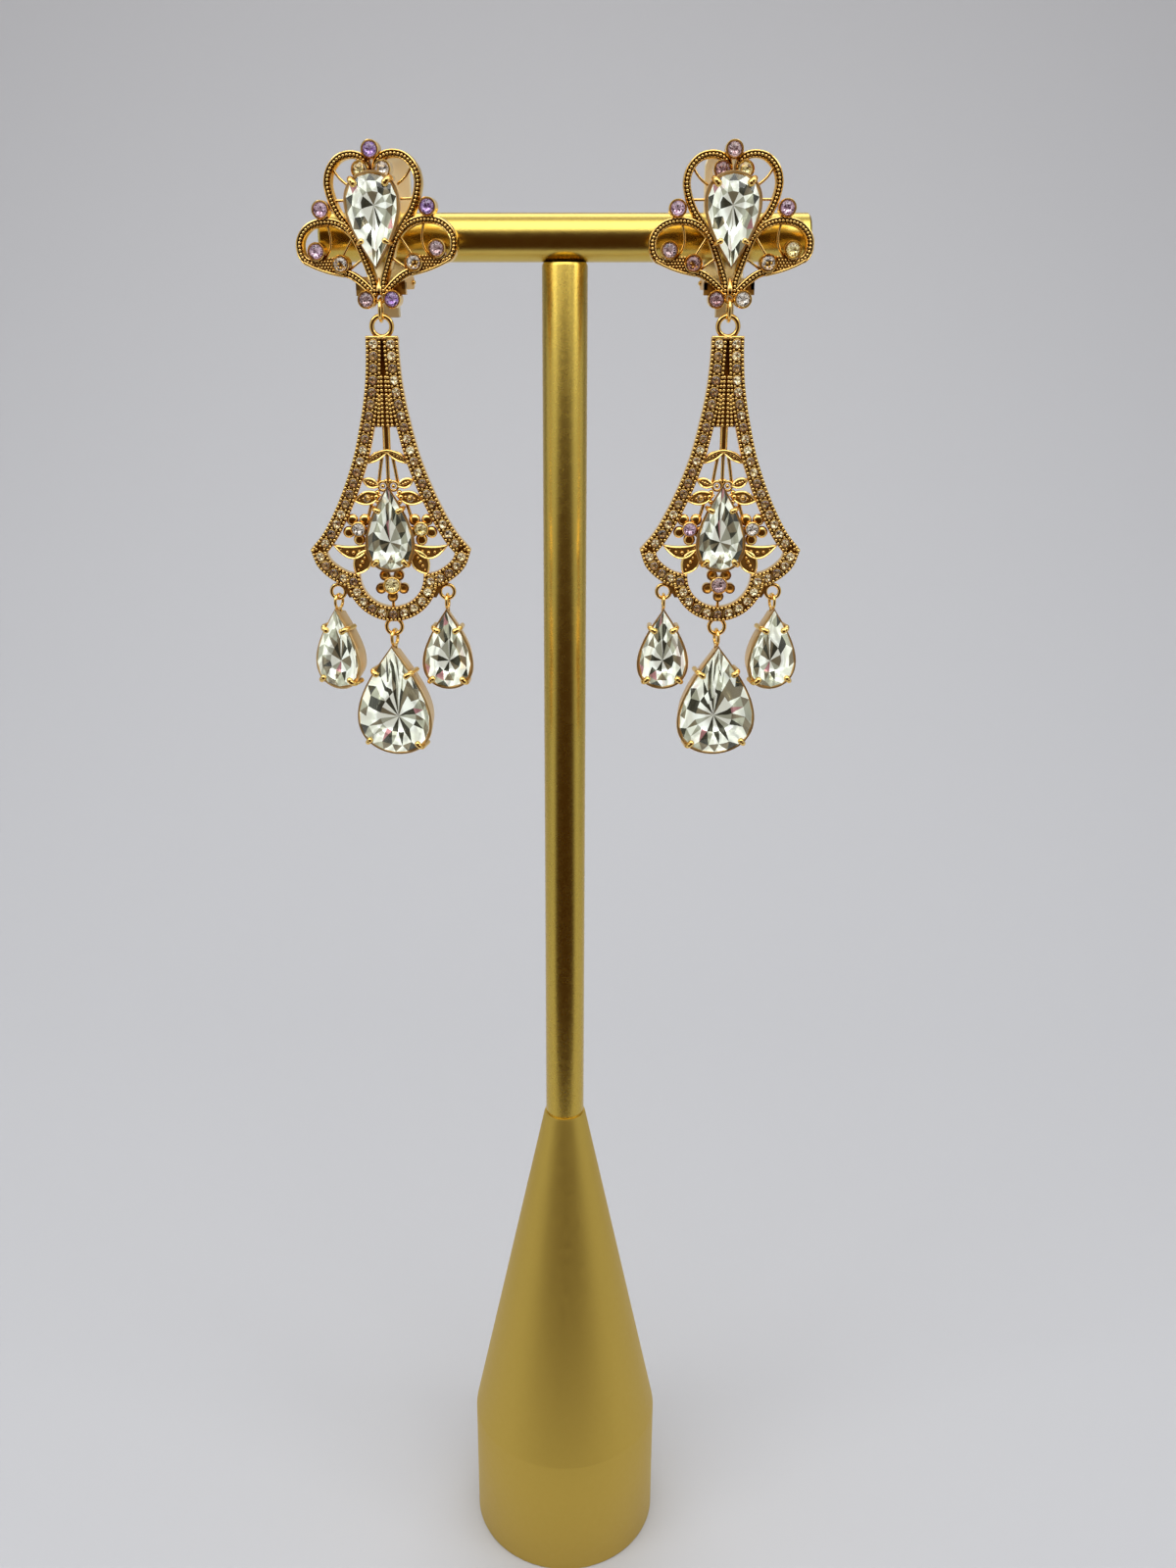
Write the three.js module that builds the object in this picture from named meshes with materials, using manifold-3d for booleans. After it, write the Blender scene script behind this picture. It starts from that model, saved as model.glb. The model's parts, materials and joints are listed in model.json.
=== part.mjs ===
// A pair of chandelier clip earrings hung on the crossbar of a gold T-bar stand.
// Millimetres, +Z up, the viewer's side is -Y, origin at the middle of the stand's foot.

import * as THREE from "three";
import { mergeVertices } from "three/addons/utils/BufferGeometryUtils.js";
import Module from "manifold-3d";

const wasm = await Module();
wasm.setup();

// Driving sizes

const STAND = {
  baseRadius: 18.65,
  baseHeight: 27.0,
  baseChamfer: 0.5,
  coneHeight: 71.3,
  coneTopRadius: 3.9,
  postRadius: 3.625,
  barRadius: 3.625,
  barLength: 76.2,
  barAxisZ: 256.4,
  postOverBarFoot: 0.45,
  seatClearance: 0.15,
  sides: 24,
  baseSides: 32,
};

const METAL = {
  bandThickness: 1.5,
  railWidth: 0.24,
  channelDepth: 0.3,
  filigreeWire: 0.42,
  webInset: 0.2,
  clearance: 0.12,
  solderBite: 0.3,
};

const BEZEL = {
  stoneRadius: 1.05,
  gap: 0.1,
  wall: 0.22,
  front: 1.15,
  back: 0.9,
  pocketDepth: 1.0,
  stoneProud: 0.15,
  sides: 8,
};

const TOP_PLATE = {
  halfWidth: 12.5,
  height: 21.0,
  bandWidth: 1.16,
  stoneWidth: 7.8,
  stoneLength: 13.0,
  stoneCentreShare: 0.529,
  settingFront: 1.7,
  settingBack: 1.9,
  clawTurns: [62, 147],
};

const CHAIN = {
  tabRingRadius: 0.72,
  tabWireRadius: 0.25,
  linkRadius: 1.65,
  linkWireRadius: 0.28,
  dropRingRadius: 1.55,
  dropRingWireRadius: 0.4,
};

const CLIP = {
  earWidthOutside: 7.8,
  earThickness: 0.55,
  earHeight: 2.0,
  strapThickness: 0.7,
  strapHeight: 1.8,
  pivotRise: 2.3,
  pivotForward: 0.2,
  knuckleRadius: 0.75,
  pinRadius: 0.32,
  sideClearance: 0.3,
  leverThickness: 0.7,
  leverWidth: 6.6,
  leverTopRise: 21.6,
  tailWidth: 3.0,
  tailDrop: 2.8,
  tailKick: 0.2,
  waistDrop: 2.4,
  shoulderRise: 1.0,
  barInset: 0.4,
  lipInset: 0.25,
  gripClearance: 0.7,
  cornerRadius: 1.4,
  bends: 11,
};

const DROP = {
  halfWidth: 13.25,
  height: 44.86,
  bandWidth: 2.4,
  thickness: 1.5,
  bowlShare: 0.483,
  stoneWidth: 7.2,
  stoneLength: 13.2,
  stoneTopShare: 0.51,
  settingFront: 1.3,
  settingBack: 1.6,
  clawTurns: [62, 147],
  stemWidth: 1.2,
  leafThickness: 1.0,
  wire: 0.5,
  ringRadius: 1.15,
  ringWireRadius: 0.3,
  footRingRadius: 1.3,
  footRingWireRadius: 0.325,
};

const SETTING = {
  gap: 0.14,
  wall: 0.4,
  taper: 0.78,
  floorShare: 0.3,
  clawWidth: 0.8,
  clawReach: 0.55,
  clawShoulder: 0.5,
  clawTop: 0.75,
  clawUnder: 0.3,
  stoneSeat: 0.25,
  frontShare: 0.4,
  sides: 12,
};

const GEM = {
  tableShare: 0.56,
  crownShare: 0.14,
  girdle: 0.25,
  pavilionShare: 0.24,
  roundCrown: 0.42,
  roundPavilion: 0.6,
};

const SMALL_DROP = {
  stoneWidth: 7.7,
  stoneLength: 12.9,
  settingDepth: 3.4,
  clawTurns: [58, 145],
  bailRadius: 1.2,
  bailWireRadius: 0.25,
  neckHeight: 1.8,
  neckThickness: 0.6,
};

const BIG_DROP = {
  stoneWidth: 12.6,
  stoneLength: 18.1,
  settingDepth: 4.2,
  clawTurns: [58, 145],
  bailRadius: 1.32,
  bailWireRadius: 0.28,
  neckHeight: 2.4,
  neckThickness: 0.67,
};

// Where each earring hangs and how it is turned, in millimetres and degrees

const HANG_Y = -6.3;
const HANG_Z = 247.4;

const EARRINGS = [
  { side: "left", x: -28.45, yaw: -7, lean: -1.3, innerYaw: -6, middleYaw: -15, outerYaw: -22 },
  { side: "right", x: 25.35, yaw: 0, lean: -0.3, innerYaw: 0, middleYaw: 8, outerYaw: 12 },
];

// Steps along each swept band
const STEPS = { heart: 14, wing: 9, foot: 3, arm: 10, elbow: 4, bowl: 8 };

// Finishes

const MATERIALS = {
  satinGold: new THREE.MeshStandardMaterial({ color: 0xb8923f, roughness: 0.38, metalness: 1.0 }),
  brightGold: new THREE.MeshStandardMaterial({ color: 0xd9a441, roughness: 0.16, metalness: 1.0 }),
  crystal: new THREE.MeshStandardMaterial({ color: 0xe6e8e0, roughness: 0.03, metalness: 0.0 }),
  smokyStone: new THREE.MeshStandardMaterial({ color: 0x9a8088, roughness: 0.05, metalness: 0.0 }),
};

// Solids: joining and cutting closed meshes

const toSolid = (geometry) => {
  const bare = geometry.clone();
  bare.deleteAttribute("normal");
  bare.deleteAttribute("uv");
  const merged = mergeVertices(bare, 1e-4);
  const corners = merged.index.array;
  const kept = [];
  for (let i = 0; i < corners.length; i += 3) {
    const [a, b, c] = [corners[i], corners[i + 1], corners[i + 2]];
    if (a !== b && b !== c && c !== a) kept.push(a, b, c);
  }
  const vertProperties = Float32Array.from(merged.attributes.position.array);
  const mesh = new wasm.Mesh({ numProp: 3, vertProperties, triVerts: Uint32Array.from(kept) });
  return new wasm.Manifold(mesh);
};

const toGeometry = (solid) => {
  const mesh = solid.getMesh();
  const geometry = new THREE.BufferGeometry();
  geometry.setAttribute("position", new THREE.BufferAttribute(Float32Array.from(mesh.vertProperties), 3));
  geometry.setIndex(new THREE.BufferAttribute(Uint32Array.from(mesh.triVerts), 1));
  geometry.computeVertexNormals();
  return geometry;
};

const join = (geometries) => geometries.map(toSolid).reduce((whole, next) => whole.add(next));
const joined = (geometries) => toGeometry(join(geometries));

// Small builders

const at = (geometry, x, y, z) => geometry.translate(x, y, z);
const mirrored = (build) => [build(1), build(-1)];
const radians = (degrees) => THREE.MathUtils.degToRad(degrees);

// A curve that lies in the XZ plane and keeps its section square to that plane
class FlatPath extends THREE.CatmullRomCurve3 {
  computeFrenetFrames(steps) {
    const tangents = [];
    const normals = [];
    const binormals = [];
    for (let i = 0; i <= steps; i += 1) {
      const tangent = this.getTangentAt(i / steps);
      const normal = new THREE.Vector3(0, -1, 0);
      tangents.push(tangent);
      normals.push(normal);
      binormals.push(new THREE.Vector3().crossVectors(tangent, normal));
    }
    return { tangents, normals, binormals };
  }
}

const flatPath = (points) =>
  new FlatPath(points.map((p) => new THREE.Vector3(p.x, 0, p.z)), false, "centripetal");

const sweep = (section, path, steps) =>
  new THREE.ExtrudeGeometry(new THREE.Shape(section), { steps, bevelEnabled: false, extrudePath: path });

// Section columns: forward towards the viewer, then across the band. The band is dished between its rails.
const channelSection = (width, thickness, depth) => {
  const half = width / 2;
  const front = thickness / 2;
  return [
    new THREE.Vector2(-front, -half),
    new THREE.Vector2(front, -half),
    new THREE.Vector2(front - depth, 0),
    new THREE.Vector2(front, half),
    new THREE.Vector2(-front, half),
  ];
};

// The stone-set band has a low ridge of stones between its two rails
const stoneBandSection = (width, thickness, rail, depth) => {
  const half = width / 2;
  const front = thickness / 2;
  return [
    new THREE.Vector2(-front, -half),
    new THREE.Vector2(front, -half),
    new THREE.Vector2(front - depth, -half + 2 * rail),
    new THREE.Vector2(front + depth / 2, 0),
    new THREE.Vector2(front - depth, half - 2 * rail),
    new THREE.Vector2(front, half),
    new THREE.Vector2(-front, half),
  ];
};

// A wire's section: flat at the back and ridged towards the viewer
const wireSection = (size) => [
  new THREE.Vector2(-size / 2, -size / 2),
  new THREE.Vector2(size / 2, 0),
  new THREE.Vector2(-size / 2, size / 2),
];

const wire = (points, size, steps) => sweep(wireSection(size), flatPath(points), steps);

// A flat piece cut to an outline in the XZ plane, from y = front to y = back
const flatPiece = (shape, front, back, curveSegments = 3) => {
  const options = { depth: back - front, bevelEnabled: false, curveSegments };
  const geometry = new THREE.ExtrudeGeometry(shape, options);
  geometry.rotateX(Math.PI / 2);
  return at(geometry, 0, back, 0);
};

// A piece cut to an outline in the YZ plane, centred on x = 0
const sidePiece = (shape, width, curveSegments = 3) => {
  const geometry = new THREE.ExtrudeGeometry(shape, { depth: width, bevelEnabled: false, curveSegments });
  geometry.translate(0, 0, -width / 2);
  const turn = new THREE.Matrix4().makeBasis(
    new THREE.Vector3(0, 1, 0),
    new THREE.Vector3(0, 0, 1),
    new THREE.Vector3(1, 0, 0),
  );
  return geometry.applyMatrix4(turn);
};

// A ring that faces the viewer (axis Y) or is seen edge on (axis X), with a corner at its top
const ring = (radius, wireRadius, axis, around = 10, section = 5) => {
  const geometry = new THREE.TorusGeometry(radius, wireRadius, section, around);
  geometry.rotateZ(Math.PI / 2);
  if (axis === "y") geometry.rotateX(Math.PI / 2);
  else geometry.rotateX(Math.PI / 2).rotateZ(Math.PI / 2);
  return geometry;
};

// A turned piece on an axis towards the viewer. Profile columns: radius, y; the outline runs round it
// from the middle of the front to the middle of the back.
const turned = (profile, sides) =>
  new THREE.LatheGeometry(profile.map((p) => new THREE.Vector2(p.radius, p.y)), sides);

// The pear outline, tip up, as shares of half its width and half its length
const PEAR_SHARPNESS = 1.2;
const pearWidest = (() => {
  let widest = 0;
  for (let turn = 0; turn <= Math.PI; turn += radians(0.5)) {
    widest = Math.max(widest, Math.sin(turn) * Math.sin(turn / 2) ** PEAR_SHARPNESS);
  }
  return widest;
})();
const pearPoint = (turn, halfWidth, halfLength) => {
  const wide = Math.sin(turn) * Math.abs(Math.sin(turn / 2)) ** PEAR_SHARPNESS / pearWidest;
  return new THREE.Vector2(wide * halfWidth, Math.cos(turn) * halfLength);
};

// A pear-shaped turned piece. Profile columns: share of the outline, growth past it, y.
const pearTurned = (profile, width, length) => {
  const { sides } = SETTING;
  const geometry = new THREE.LatheGeometry(profile.map((p) => new THREE.Vector2(p.share, p.y)), sides);
  const position = geometry.attributes.position;
  for (let i = 0; i < position.count; i += 1) {
    const row = profile[i % profile.length];
    const turn = (2 * Math.PI * Math.floor(i / profile.length)) / sides;
    const edge = pearPoint(turn, width / 2 + row.growth, length / 2 + row.growth);
    position.setXYZ(i, edge.x * row.share, row.y, edge.y * row.share);
  }
  return geometry;
};

// Stones

const pearStone = (width, length) => {
  const crown = GEM.crownShare * width;
  const pavilion = GEM.pavilionShare * width;
  return pearTurned(
    [
      { share: 0, growth: 0, y: -crown },
      { share: GEM.tableShare, growth: 0, y: -crown },
      { share: 1, growth: 0, y: -GEM.girdle / 2 },
      { share: 1, growth: 0, y: GEM.girdle / 2 },
      { share: 0, growth: 0, y: pavilion },
    ],
    width,
    length,
  );
};

const roundStone = () =>
  turned(
    [
      { radius: 0, y: -GEM.roundCrown },
      { radius: BEZEL.stoneRadius * GEM.tableShare, y: -GEM.roundCrown },
      { radius: BEZEL.stoneRadius, y: 0 },
      { radius: 0, y: GEM.roundPavilion },
    ],
    BEZEL.sides,
  );

// How far a round stone's girdle stands in front of the plane of its plate
const roundStoneFront = BEZEL.front - BEZEL.stoneProud;

const bezelOuterRadius = BEZEL.stoneRadius + BEZEL.gap + BEZEL.wall;
const bezelInnerRadius = BEZEL.stoneRadius + BEZEL.gap;

const bezel = (x, z) =>
  at(
    turned(
      [
        { radius: 0, y: -BEZEL.front + BEZEL.pocketDepth },
        { radius: bezelInnerRadius, y: -BEZEL.front + BEZEL.pocketDepth },
        { radius: bezelInnerRadius, y: -BEZEL.front },
        { radius: bezelOuterRadius, y: -BEZEL.front },
        { radius: bezelOuterRadius, y: BEZEL.back },
        { radius: 0, y: BEZEL.back },
      ],
      BEZEL.sides,
    ),
    x,
    0,
    z,
  );

// A claw that rises beside the stone's edge and bends over it
const claw = (turn, width, length, front) => {
  const [halfWidth, halfLength] = [width / 2, length / 2];
  const edge = pearPoint(turn, halfWidth, halfLength);
  const step = 0.02;
  const ahead = pearPoint(turn + step, halfWidth, halfLength);
  const outward = new THREE.Vector3(-(ahead.y - edge.y), 0, ahead.x - edge.x).normalize();
  const inside = SETTING.gap;
  const outside = SETTING.gap + SETTING.wall;
  const seat = -SETTING.stoneSeat;
  const rise = GEM.girdle + SETTING.gap + SETTING.stoneSeat;
  const profile = [
    new THREE.Vector2(inside, seat),
    new THREE.Vector2(outside, seat),
    new THREE.Vector2(outside, rise + SETTING.clawShoulder),
    new THREE.Vector2(inside - SETTING.clawReach, rise + SETTING.clawTop),
    new THREE.Vector2(inside - SETTING.clawReach, rise + SETTING.clawUnder),
    new THREE.Vector2(inside, rise),
  ];
  const geometry = new THREE.ExtrudeGeometry(new THREE.Shape(profile), {
    depth: SETTING.clawWidth,
    bevelEnabled: false,
  });
  geometry.translate(0, 0, -SETTING.clawWidth / 2);
  const forward = new THREE.Vector3(0, -1, 0);
  const along = new THREE.Vector3().crossVectors(outward, forward);
  geometry.applyMatrix4(new THREE.Matrix4().makeBasis(outward, forward, along));
  return at(geometry, edge.x, -front, edge.y);
};

// A pear-shaped cup with claws, tip up, centred on the stone. front and back are distances from its plane.
const pearSetting = (width, length, front, back, clawTurns) => {
  const inner = SETTING.gap;
  const outer = SETTING.gap + SETTING.wall;
  const depth = GEM.pavilionShare * width + SETTING.gap;
  const floor = Math.min(-front + depth + SETTING.stoneSeat, back - SETTING.wall);
  const cup = pearTurned(
    [
      { share: 0, growth: inner, y: floor },
      { share: SETTING.floorShare, growth: inner, y: floor },
      { share: 1, growth: inner, y: -front },
      { share: 1, growth: outer, y: -front },
      { share: SETTING.taper, growth: outer, y: back },
      { share: 0, growth: outer, y: back },
    ],
    width,
    length,
  );
  const turns = clawTurns.flatMap((degrees) => [radians(degrees), -radians(degrees)]);
  const claws = turns.map((turn) => claw(turn, width, length, front));
  return [cup, ...claws];
};

// The stone of such a cup stands this far in front of the cup's plane
const stoneFront = (front) => front + GEM.girdle / 2;

// The stand

const makeBase = () => {
  const s = STAND;
  const top = s.baseHeight + s.coneHeight;
  const profile = [
    [0, 0],
    [s.baseRadius - s.baseChamfer, 0],
    [s.baseRadius, s.baseChamfer],
    [s.baseRadius, s.baseHeight],
    [s.coneTopRadius, top],
    [0, top],
  ].map(([radius, height]) => new THREE.Vector2(radius, height));
  return new THREE.LatheGeometry(profile, s.baseSides).rotateX(Math.PI / 2);
};

const barBlank = (radius) => {
  const geometry = new THREE.CylinderGeometry(radius, radius, STAND.barLength, STAND.sides);
  return at(geometry.rotateZ(Math.PI / 2), 0, 0, STAND.barAxisZ);
};

// The top of the post is coped to the round of the bar that lies in it
const makePost = () => {
  const foot = STAND.baseHeight + STAND.coneHeight;
  const top = STAND.barAxisZ - STAND.barRadius + STAND.postOverBarFoot;
  const post = new THREE.CylinderGeometry(STAND.postRadius, STAND.postRadius, top - foot, STAND.sides);
  at(post.rotateX(Math.PI / 2), 0, 0, (foot + top) / 2);
  return toGeometry(toSolid(post).subtract(toSolid(barBlank(STAND.barRadius + STAND.seatClearance))));
};

// The top plate. Columns are shares of the plate's half width and of its height above the hanging ring.

const HEART_LINE = [
  { x: 0.056, z: 0.857 },
  { x: 0.066, z: 0.914 },
  { x: 0.136, z: 0.955 },
  { x: 0.248, z: 0.971 },
  { x: 0.376, z: 0.957 },
  { x: 0.472, z: 0.914 },
  { x: 0.536, z: 0.852 },
  { x: 0.558, z: 0.781 },
  { x: 0.54, z: 0.714 },
  { x: 0.504, z: 0.648 },
  { x: 0.448, z: 0.581 },
  { x: 0.376, z: 0.524 },
  { x: 0.304, z: 0.462 },
  { x: 0.224, z: 0.376 },
  { x: 0.16, z: 0.281 },
  { x: 0.104, z: 0.19 },
  { x: 0.062, z: 0.11 },
  { x: 0.058, z: 0.03 },
];

const WING_LINE = [
  { x: 0.248, z: 0.41 },
  { x: 0.344, z: 0.471 },
  { x: 0.456, z: 0.512 },
  { x: 0.576, z: 0.529 },
  { x: 0.704, z: 0.526 },
  { x: 0.816, z: 0.505 },
  { x: 0.904, z: 0.462 },
  { x: 0.956, z: 0.405 },
  { x: 0.96, z: 0.352 },
  { x: 0.944, z: 0.31 },
  { x: 0.896, z: 0.271 },
  { x: 0.824, z: 0.255 },
];

const FOOT_LINE = [
  { x: 0.448, z: 0.186 },
  { x: 0.352, z: 0.169 },
  { x: 0.264, z: 0.138 },
  { x: 0.176, z: 0.095 },
  { x: 0.104, z: 0.052 },
];

// The beaded web that fills the corner between the wing's two stones
const WEB_OUTLINE = [
  { x: 0.92, z: 0.262 },
  { x: 0.816, z: 0.229 },
  { x: 0.662, z: 0.194 },
  { x: 0.531, z: 0.173 },
  { x: 0.43, z: 0.16 },
  { x: 0.37, z: 0.2 },
  { x: 0.52, z: 0.29 },
  { x: 0.66, z: 0.283 },
  { x: 0.8, z: 0.27 },
];

// The filigree wires behind the stone, across the heart and inside the wings
const PLATE_WIRES = [
  { steps: 2, line: [{ x: 0.475, z: 0.9 }, { x: 0.42, z: 0.83 }, { x: 0.3, z: 0.765 }] },
  { steps: 1, line: [{ x: 0.52, z: 0.671 }, { x: 0.28, z: 0.671 }] },
  { steps: 2, line: [{ x: 0.6, z: 0.51 }, { x: 0.568, z: 0.419 }, { x: 0.66, z: 0.276 }] },
  { steps: 1, line: [{ x: 0.29, z: 0.425 }, { x: 0.44, z: 0.29 }] },
  { steps: 1, line: [{ x: 0.15, z: 0.29 }, { x: 0.38, z: 0.195 }] },
];

const PLATE_STONES = [
  { name: "crown", x: 0, z: 1.0 },
  { name: "under_crown", x: 0.135, z: 0.869 },
  { name: "shoulder", x: 0.66, z: 0.614 },
  { name: "wing_outer", x: 0.75, z: 0.333 },
  { name: "wing_inner", x: 0.456, z: 0.243 },
  { name: "foot", x: 0.163, z: -0.005 },
];

// Plate shares to millimetres, on either side of its middle
const onPlate = (point, hand = 1) => ({
  x: hand * point.x * TOP_PLATE.halfWidth,
  z: point.z * TOP_PLATE.height,
});

const plateStoneSpots = () =>
  PLATE_STONES.flatMap((stone) => {
    if (stone.x === 0) return [{ name: stone.name, ...onPlate(stone) }];
    return [
      { name: `${stone.name}_l`, ...onPlate(stone, -1) },
      { name: `${stone.name}_r`, ...onPlate(stone, 1) },
    ];
  });

const outlineShape = (points) => new THREE.Shape(points.map((p) => new THREE.Vector2(p.x, p.z)));

const tipDown = (geometry) => geometry.rotateY(Math.PI);

const topStoneZ = TOP_PLATE.stoneCentreShare * TOP_PLATE.height;

// The clip's strap and ears, with the holes for the lever's pin ends
const pivotY = -HANG_Y - CLIP.pivotForward;
const clipEars = () => {
  const strapBack = METAL.bandThickness / 2 + CLIP.strapThickness;
  const strapFront = METAL.bandThickness / 2 - METAL.solderBite;
  const strap = new THREE.BoxGeometry(CLIP.earWidthOutside, strapBack - strapFront, CLIP.strapHeight);
  at(strap, 0, (strapFront + strapBack) / 2, CLIP.pivotRise - CLIP.strapHeight / 2);
  const half = CLIP.earHeight / 2;
  const ear = new THREE.Shape();
  ear.moveTo(strapFront, CLIP.pivotRise - half);
  ear.lineTo(pivotY, CLIP.pivotRise - half);
  ear.absarc(pivotY, CLIP.pivotRise, half, -Math.PI / 2, Math.PI / 2, false);
  ear.lineTo(strapFront, CLIP.pivotRise + half);
  const hole = new THREE.Path();
  hole.absarc(pivotY, CLIP.pivotRise, CLIP.pinRadius + METAL.clearance, 0, 2 * Math.PI, true);
  ear.holes.push(hole);
  const offset = (CLIP.earWidthOutside - CLIP.earThickness) / 2;
  const ears = mirrored((hand) => at(sidePiece(ear, CLIP.earThickness), hand * offset, 0, 0));
  return [strap, ...ears];
};

const makeTopFrame = () => {
  const band = channelSection(TOP_PLATE.bandWidth, METAL.bandThickness, METAL.channelDepth);
  const pieces = [];
  for (const hand of [1, -1]) {
    const place = (points) => points.map((p) => onPlate(p, hand));
    pieces.push(sweep(band, flatPath(place(HEART_LINE)), STEPS.heart));
    pieces.push(sweep(band, flatPath(place(WING_LINE)), STEPS.wing));
    pieces.push(sweep(band, flatPath(place(FOOT_LINE)), STEPS.foot));
    const webFront = METAL.channelDepth - METAL.bandThickness / 2;
    const webBack = METAL.bandThickness / 2 - METAL.webInset;
    pieces.push(flatPiece(outlineShape(place(WEB_OUTLINE)), webFront, webBack));
    for (const { steps, line } of PLATE_WIRES) pieces.push(wire(place(line), METAL.filigreeWire, steps));
  }
  for (const spot of plateStoneSpots()) pieces.push(bezel(spot.x, spot.z));
  const setting = pearSetting(
    TOP_PLATE.stoneWidth,
    TOP_PLATE.stoneLength,
    TOP_PLATE.settingFront,
    TOP_PLATE.settingBack,
    TOP_PLATE.clawTurns,
  );
  for (const piece of setting) pieces.push(at(tipDown(piece), 0, 0, topStoneZ));
  const tabHoleRadius = CHAIN.tabRingRadius - CHAIN.tabWireRadius;
  const tabRise = tabHoleRadius - CHAIN.linkWireRadius - METAL.clearance;
  pieces.push(at(ring(CHAIN.tabRingRadius, CHAIN.tabWireRadius, "y"), 0, 0, tabRise));
  pieces.push(...clipEars());
  return joined(pieces);
};

// The clip's lever: a folded plate that stands behind the bar, a knuckle with pin ends, and a short tail
const makeLever = () => {
  const backOfBar = -HANG_Y + STAND.barRadius;
  const grip = backOfBar + CLIP.gripClearance + CLIP.leverThickness / 2;
  const barRise = STAND.barAxisZ - HANG_Z;
  const line = [
    { y: pivotY + CLIP.tailKick, z: -CLIP.tailDrop },
    { y: pivotY - CLIP.tailKick / 2, z: CLIP.pivotRise - CLIP.waistDrop },
    { y: pivotY, z: CLIP.pivotRise },
    { y: (pivotY + grip) / 2, z: CLIP.pivotRise + CLIP.shoulderRise },
    { y: grip - CLIP.barInset, z: barRise - STAND.barRadius },
    { y: grip, z: barRise },
    { y: grip, z: (barRise + CLIP.leverTopRise) / 2 },
    { y: grip - CLIP.lipInset, z: CLIP.leverTopRise },
  ];
  const curve = new THREE.SplineCurve(line.map((p) => new THREE.Vector2(p.y, p.z)));
  const near = [];
  const far = [];
  for (let i = 0; i <= CLIP.bends; i += 1) {
    const point = curve.getPointAt(i / CLIP.bends);
    const tangent = curve.getTangentAt(i / CLIP.bends);
    const across = new THREE.Vector2(-tangent.y, tangent.x).multiplyScalar(CLIP.leverThickness / 2);
    near.push(point.clone().add(across));
    far.unshift(point.clone().sub(across));
  }
  const folded = sidePiece(new THREE.Shape([...near, ...far]), CLIP.leverWidth);
  const half = CLIP.leverWidth / 2;
  const neck = CLIP.earWidthOutside / 2 - CLIP.earThickness - CLIP.sideClearance;
  const tail = CLIP.tailWidth / 2;
  const corner = CLIP.cornerRadius;
  const top = CLIP.leverTopRise + CLIP.leverThickness;
  const face = new THREE.Shape();
  face.moveTo(-tail, -CLIP.tailDrop - CLIP.leverThickness);
  face.lineTo(tail, -CLIP.tailDrop - CLIP.leverThickness);
  face.lineTo(tail, CLIP.pivotRise - CLIP.knuckleRadius);
  face.lineTo(neck, CLIP.pivotRise);
  face.lineTo(neck, CLIP.pivotRise + 2 * CLIP.knuckleRadius);
  face.lineTo(half, barRise - STAND.barRadius);
  face.lineTo(half, top - corner);
  face.absarc(half - corner, top - corner, corner, 0, Math.PI / 2, false);
  face.absarc(-half + corner, top - corner, corner, Math.PI / 2, Math.PI, false);
  face.lineTo(-half, barRise - STAND.barRadius);
  face.lineTo(-neck, CLIP.pivotRise + 2 * CLIP.knuckleRadius);
  face.lineTo(-neck, CLIP.pivotRise);
  face.lineTo(-tail, CLIP.pivotRise - CLIP.knuckleRadius);
  const blank = flatPiece(face, 0, grip + STAND.barRadius, 2);
  const plate = toSolid(folded).intersect(toSolid(blank));
  const rod = (radius, length) => {
    const geometry = new THREE.CylinderGeometry(radius, radius, length, 8).rotateZ(Math.PI / 2);
    return toSolid(at(geometry, 0, pivotY, CLIP.pivotRise));
  };
  const knuckle = rod(CLIP.knuckleRadius, 2 * neck);
  const pin = rod(CLIP.pinRadius, CLIP.earWidthOutside - CLIP.sideClearance);
  return toGeometry(plate.add(knuckle).add(pin));
};

// The main drop. Columns are shares of its half width and of its height, down from its top edge.

const ARM_LINE = [
  { x: 0.102, down: 0 },
  { x: 0.106, down: 0.053 },
  { x: 0.125, down: 0.138 },
  { x: 0.166, down: 0.223 },
  { x: 0.23, down: 0.312 },
  { x: 0.306, down: 0.401 },
  { x: 0.392, down: 0.475 },
  { x: 0.479, down: 0.539 },
  { x: 0.57, down: 0.597 },
  { x: 0.683, down: 0.66 },
  { x: 0.8, down: 0.709 },
  { x: 0.934, down: 0.753 },
];

const ELBOW_LINE = [
  { x: 0.915, down: 0.727 },
  { x: 0.887, down: 0.756 },
  { x: 0.838, down: 0.782 },
  { x: 0.762, down: 0.807 },
  { x: 0.672, down: 0.827 },
  { x: 0.574, down: 0.842 },
  { x: 0.468, down: 0.847 },
];

// The gusset behind the elbow that carries the small ring
const GUSSET_OUTLINE = [
  { x: 0.72, down: 0.848 },
  { x: 0.64, down: 0.83 },
  { x: 0.45, down: 0.845 },
  { x: 0.46, down: 0.91 },
  { x: 0.53, down: 0.912 },
];

// The wedge of beaded rows between the two arms, below their slit
const WEDGE_OUTLINE = [
  { x: -0.05, down: 0.13 },
  { x: 0.05, down: 0.13 },
  { x: 0.12, down: 0.3 },
  { x: -0.12, down: 0.3 },
];

// Leaves: root and tip, then how far the upper and lower edges bow out, as shares of the half width
const LEAVES = [
  { root: { x: -0.02, down: 0.389 }, tip: { x: 0.245, down: 0.425 }, above: 0.055, below: 0.035 },
  { root: { x: 0.12, down: 0.507 }, tip: { x: 0.305, down: 0.485 }, above: 0.05, below: 0.06 },
  { root: { x: 0.1, down: 0.539 }, tip: { x: 0.415, down: 0.559 }, above: 0.08, below: 0.08 },
  { root: { x: 0.24, down: 0.712 }, tip: { x: 0.7, down: 0.72 }, above: -0.04, below: 0.2 },
  { root: { x: 0.27, down: 0.735 }, tip: { x: 0.44, down: 0.825 }, above: 0.12, below: 0.12 },
];

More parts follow.
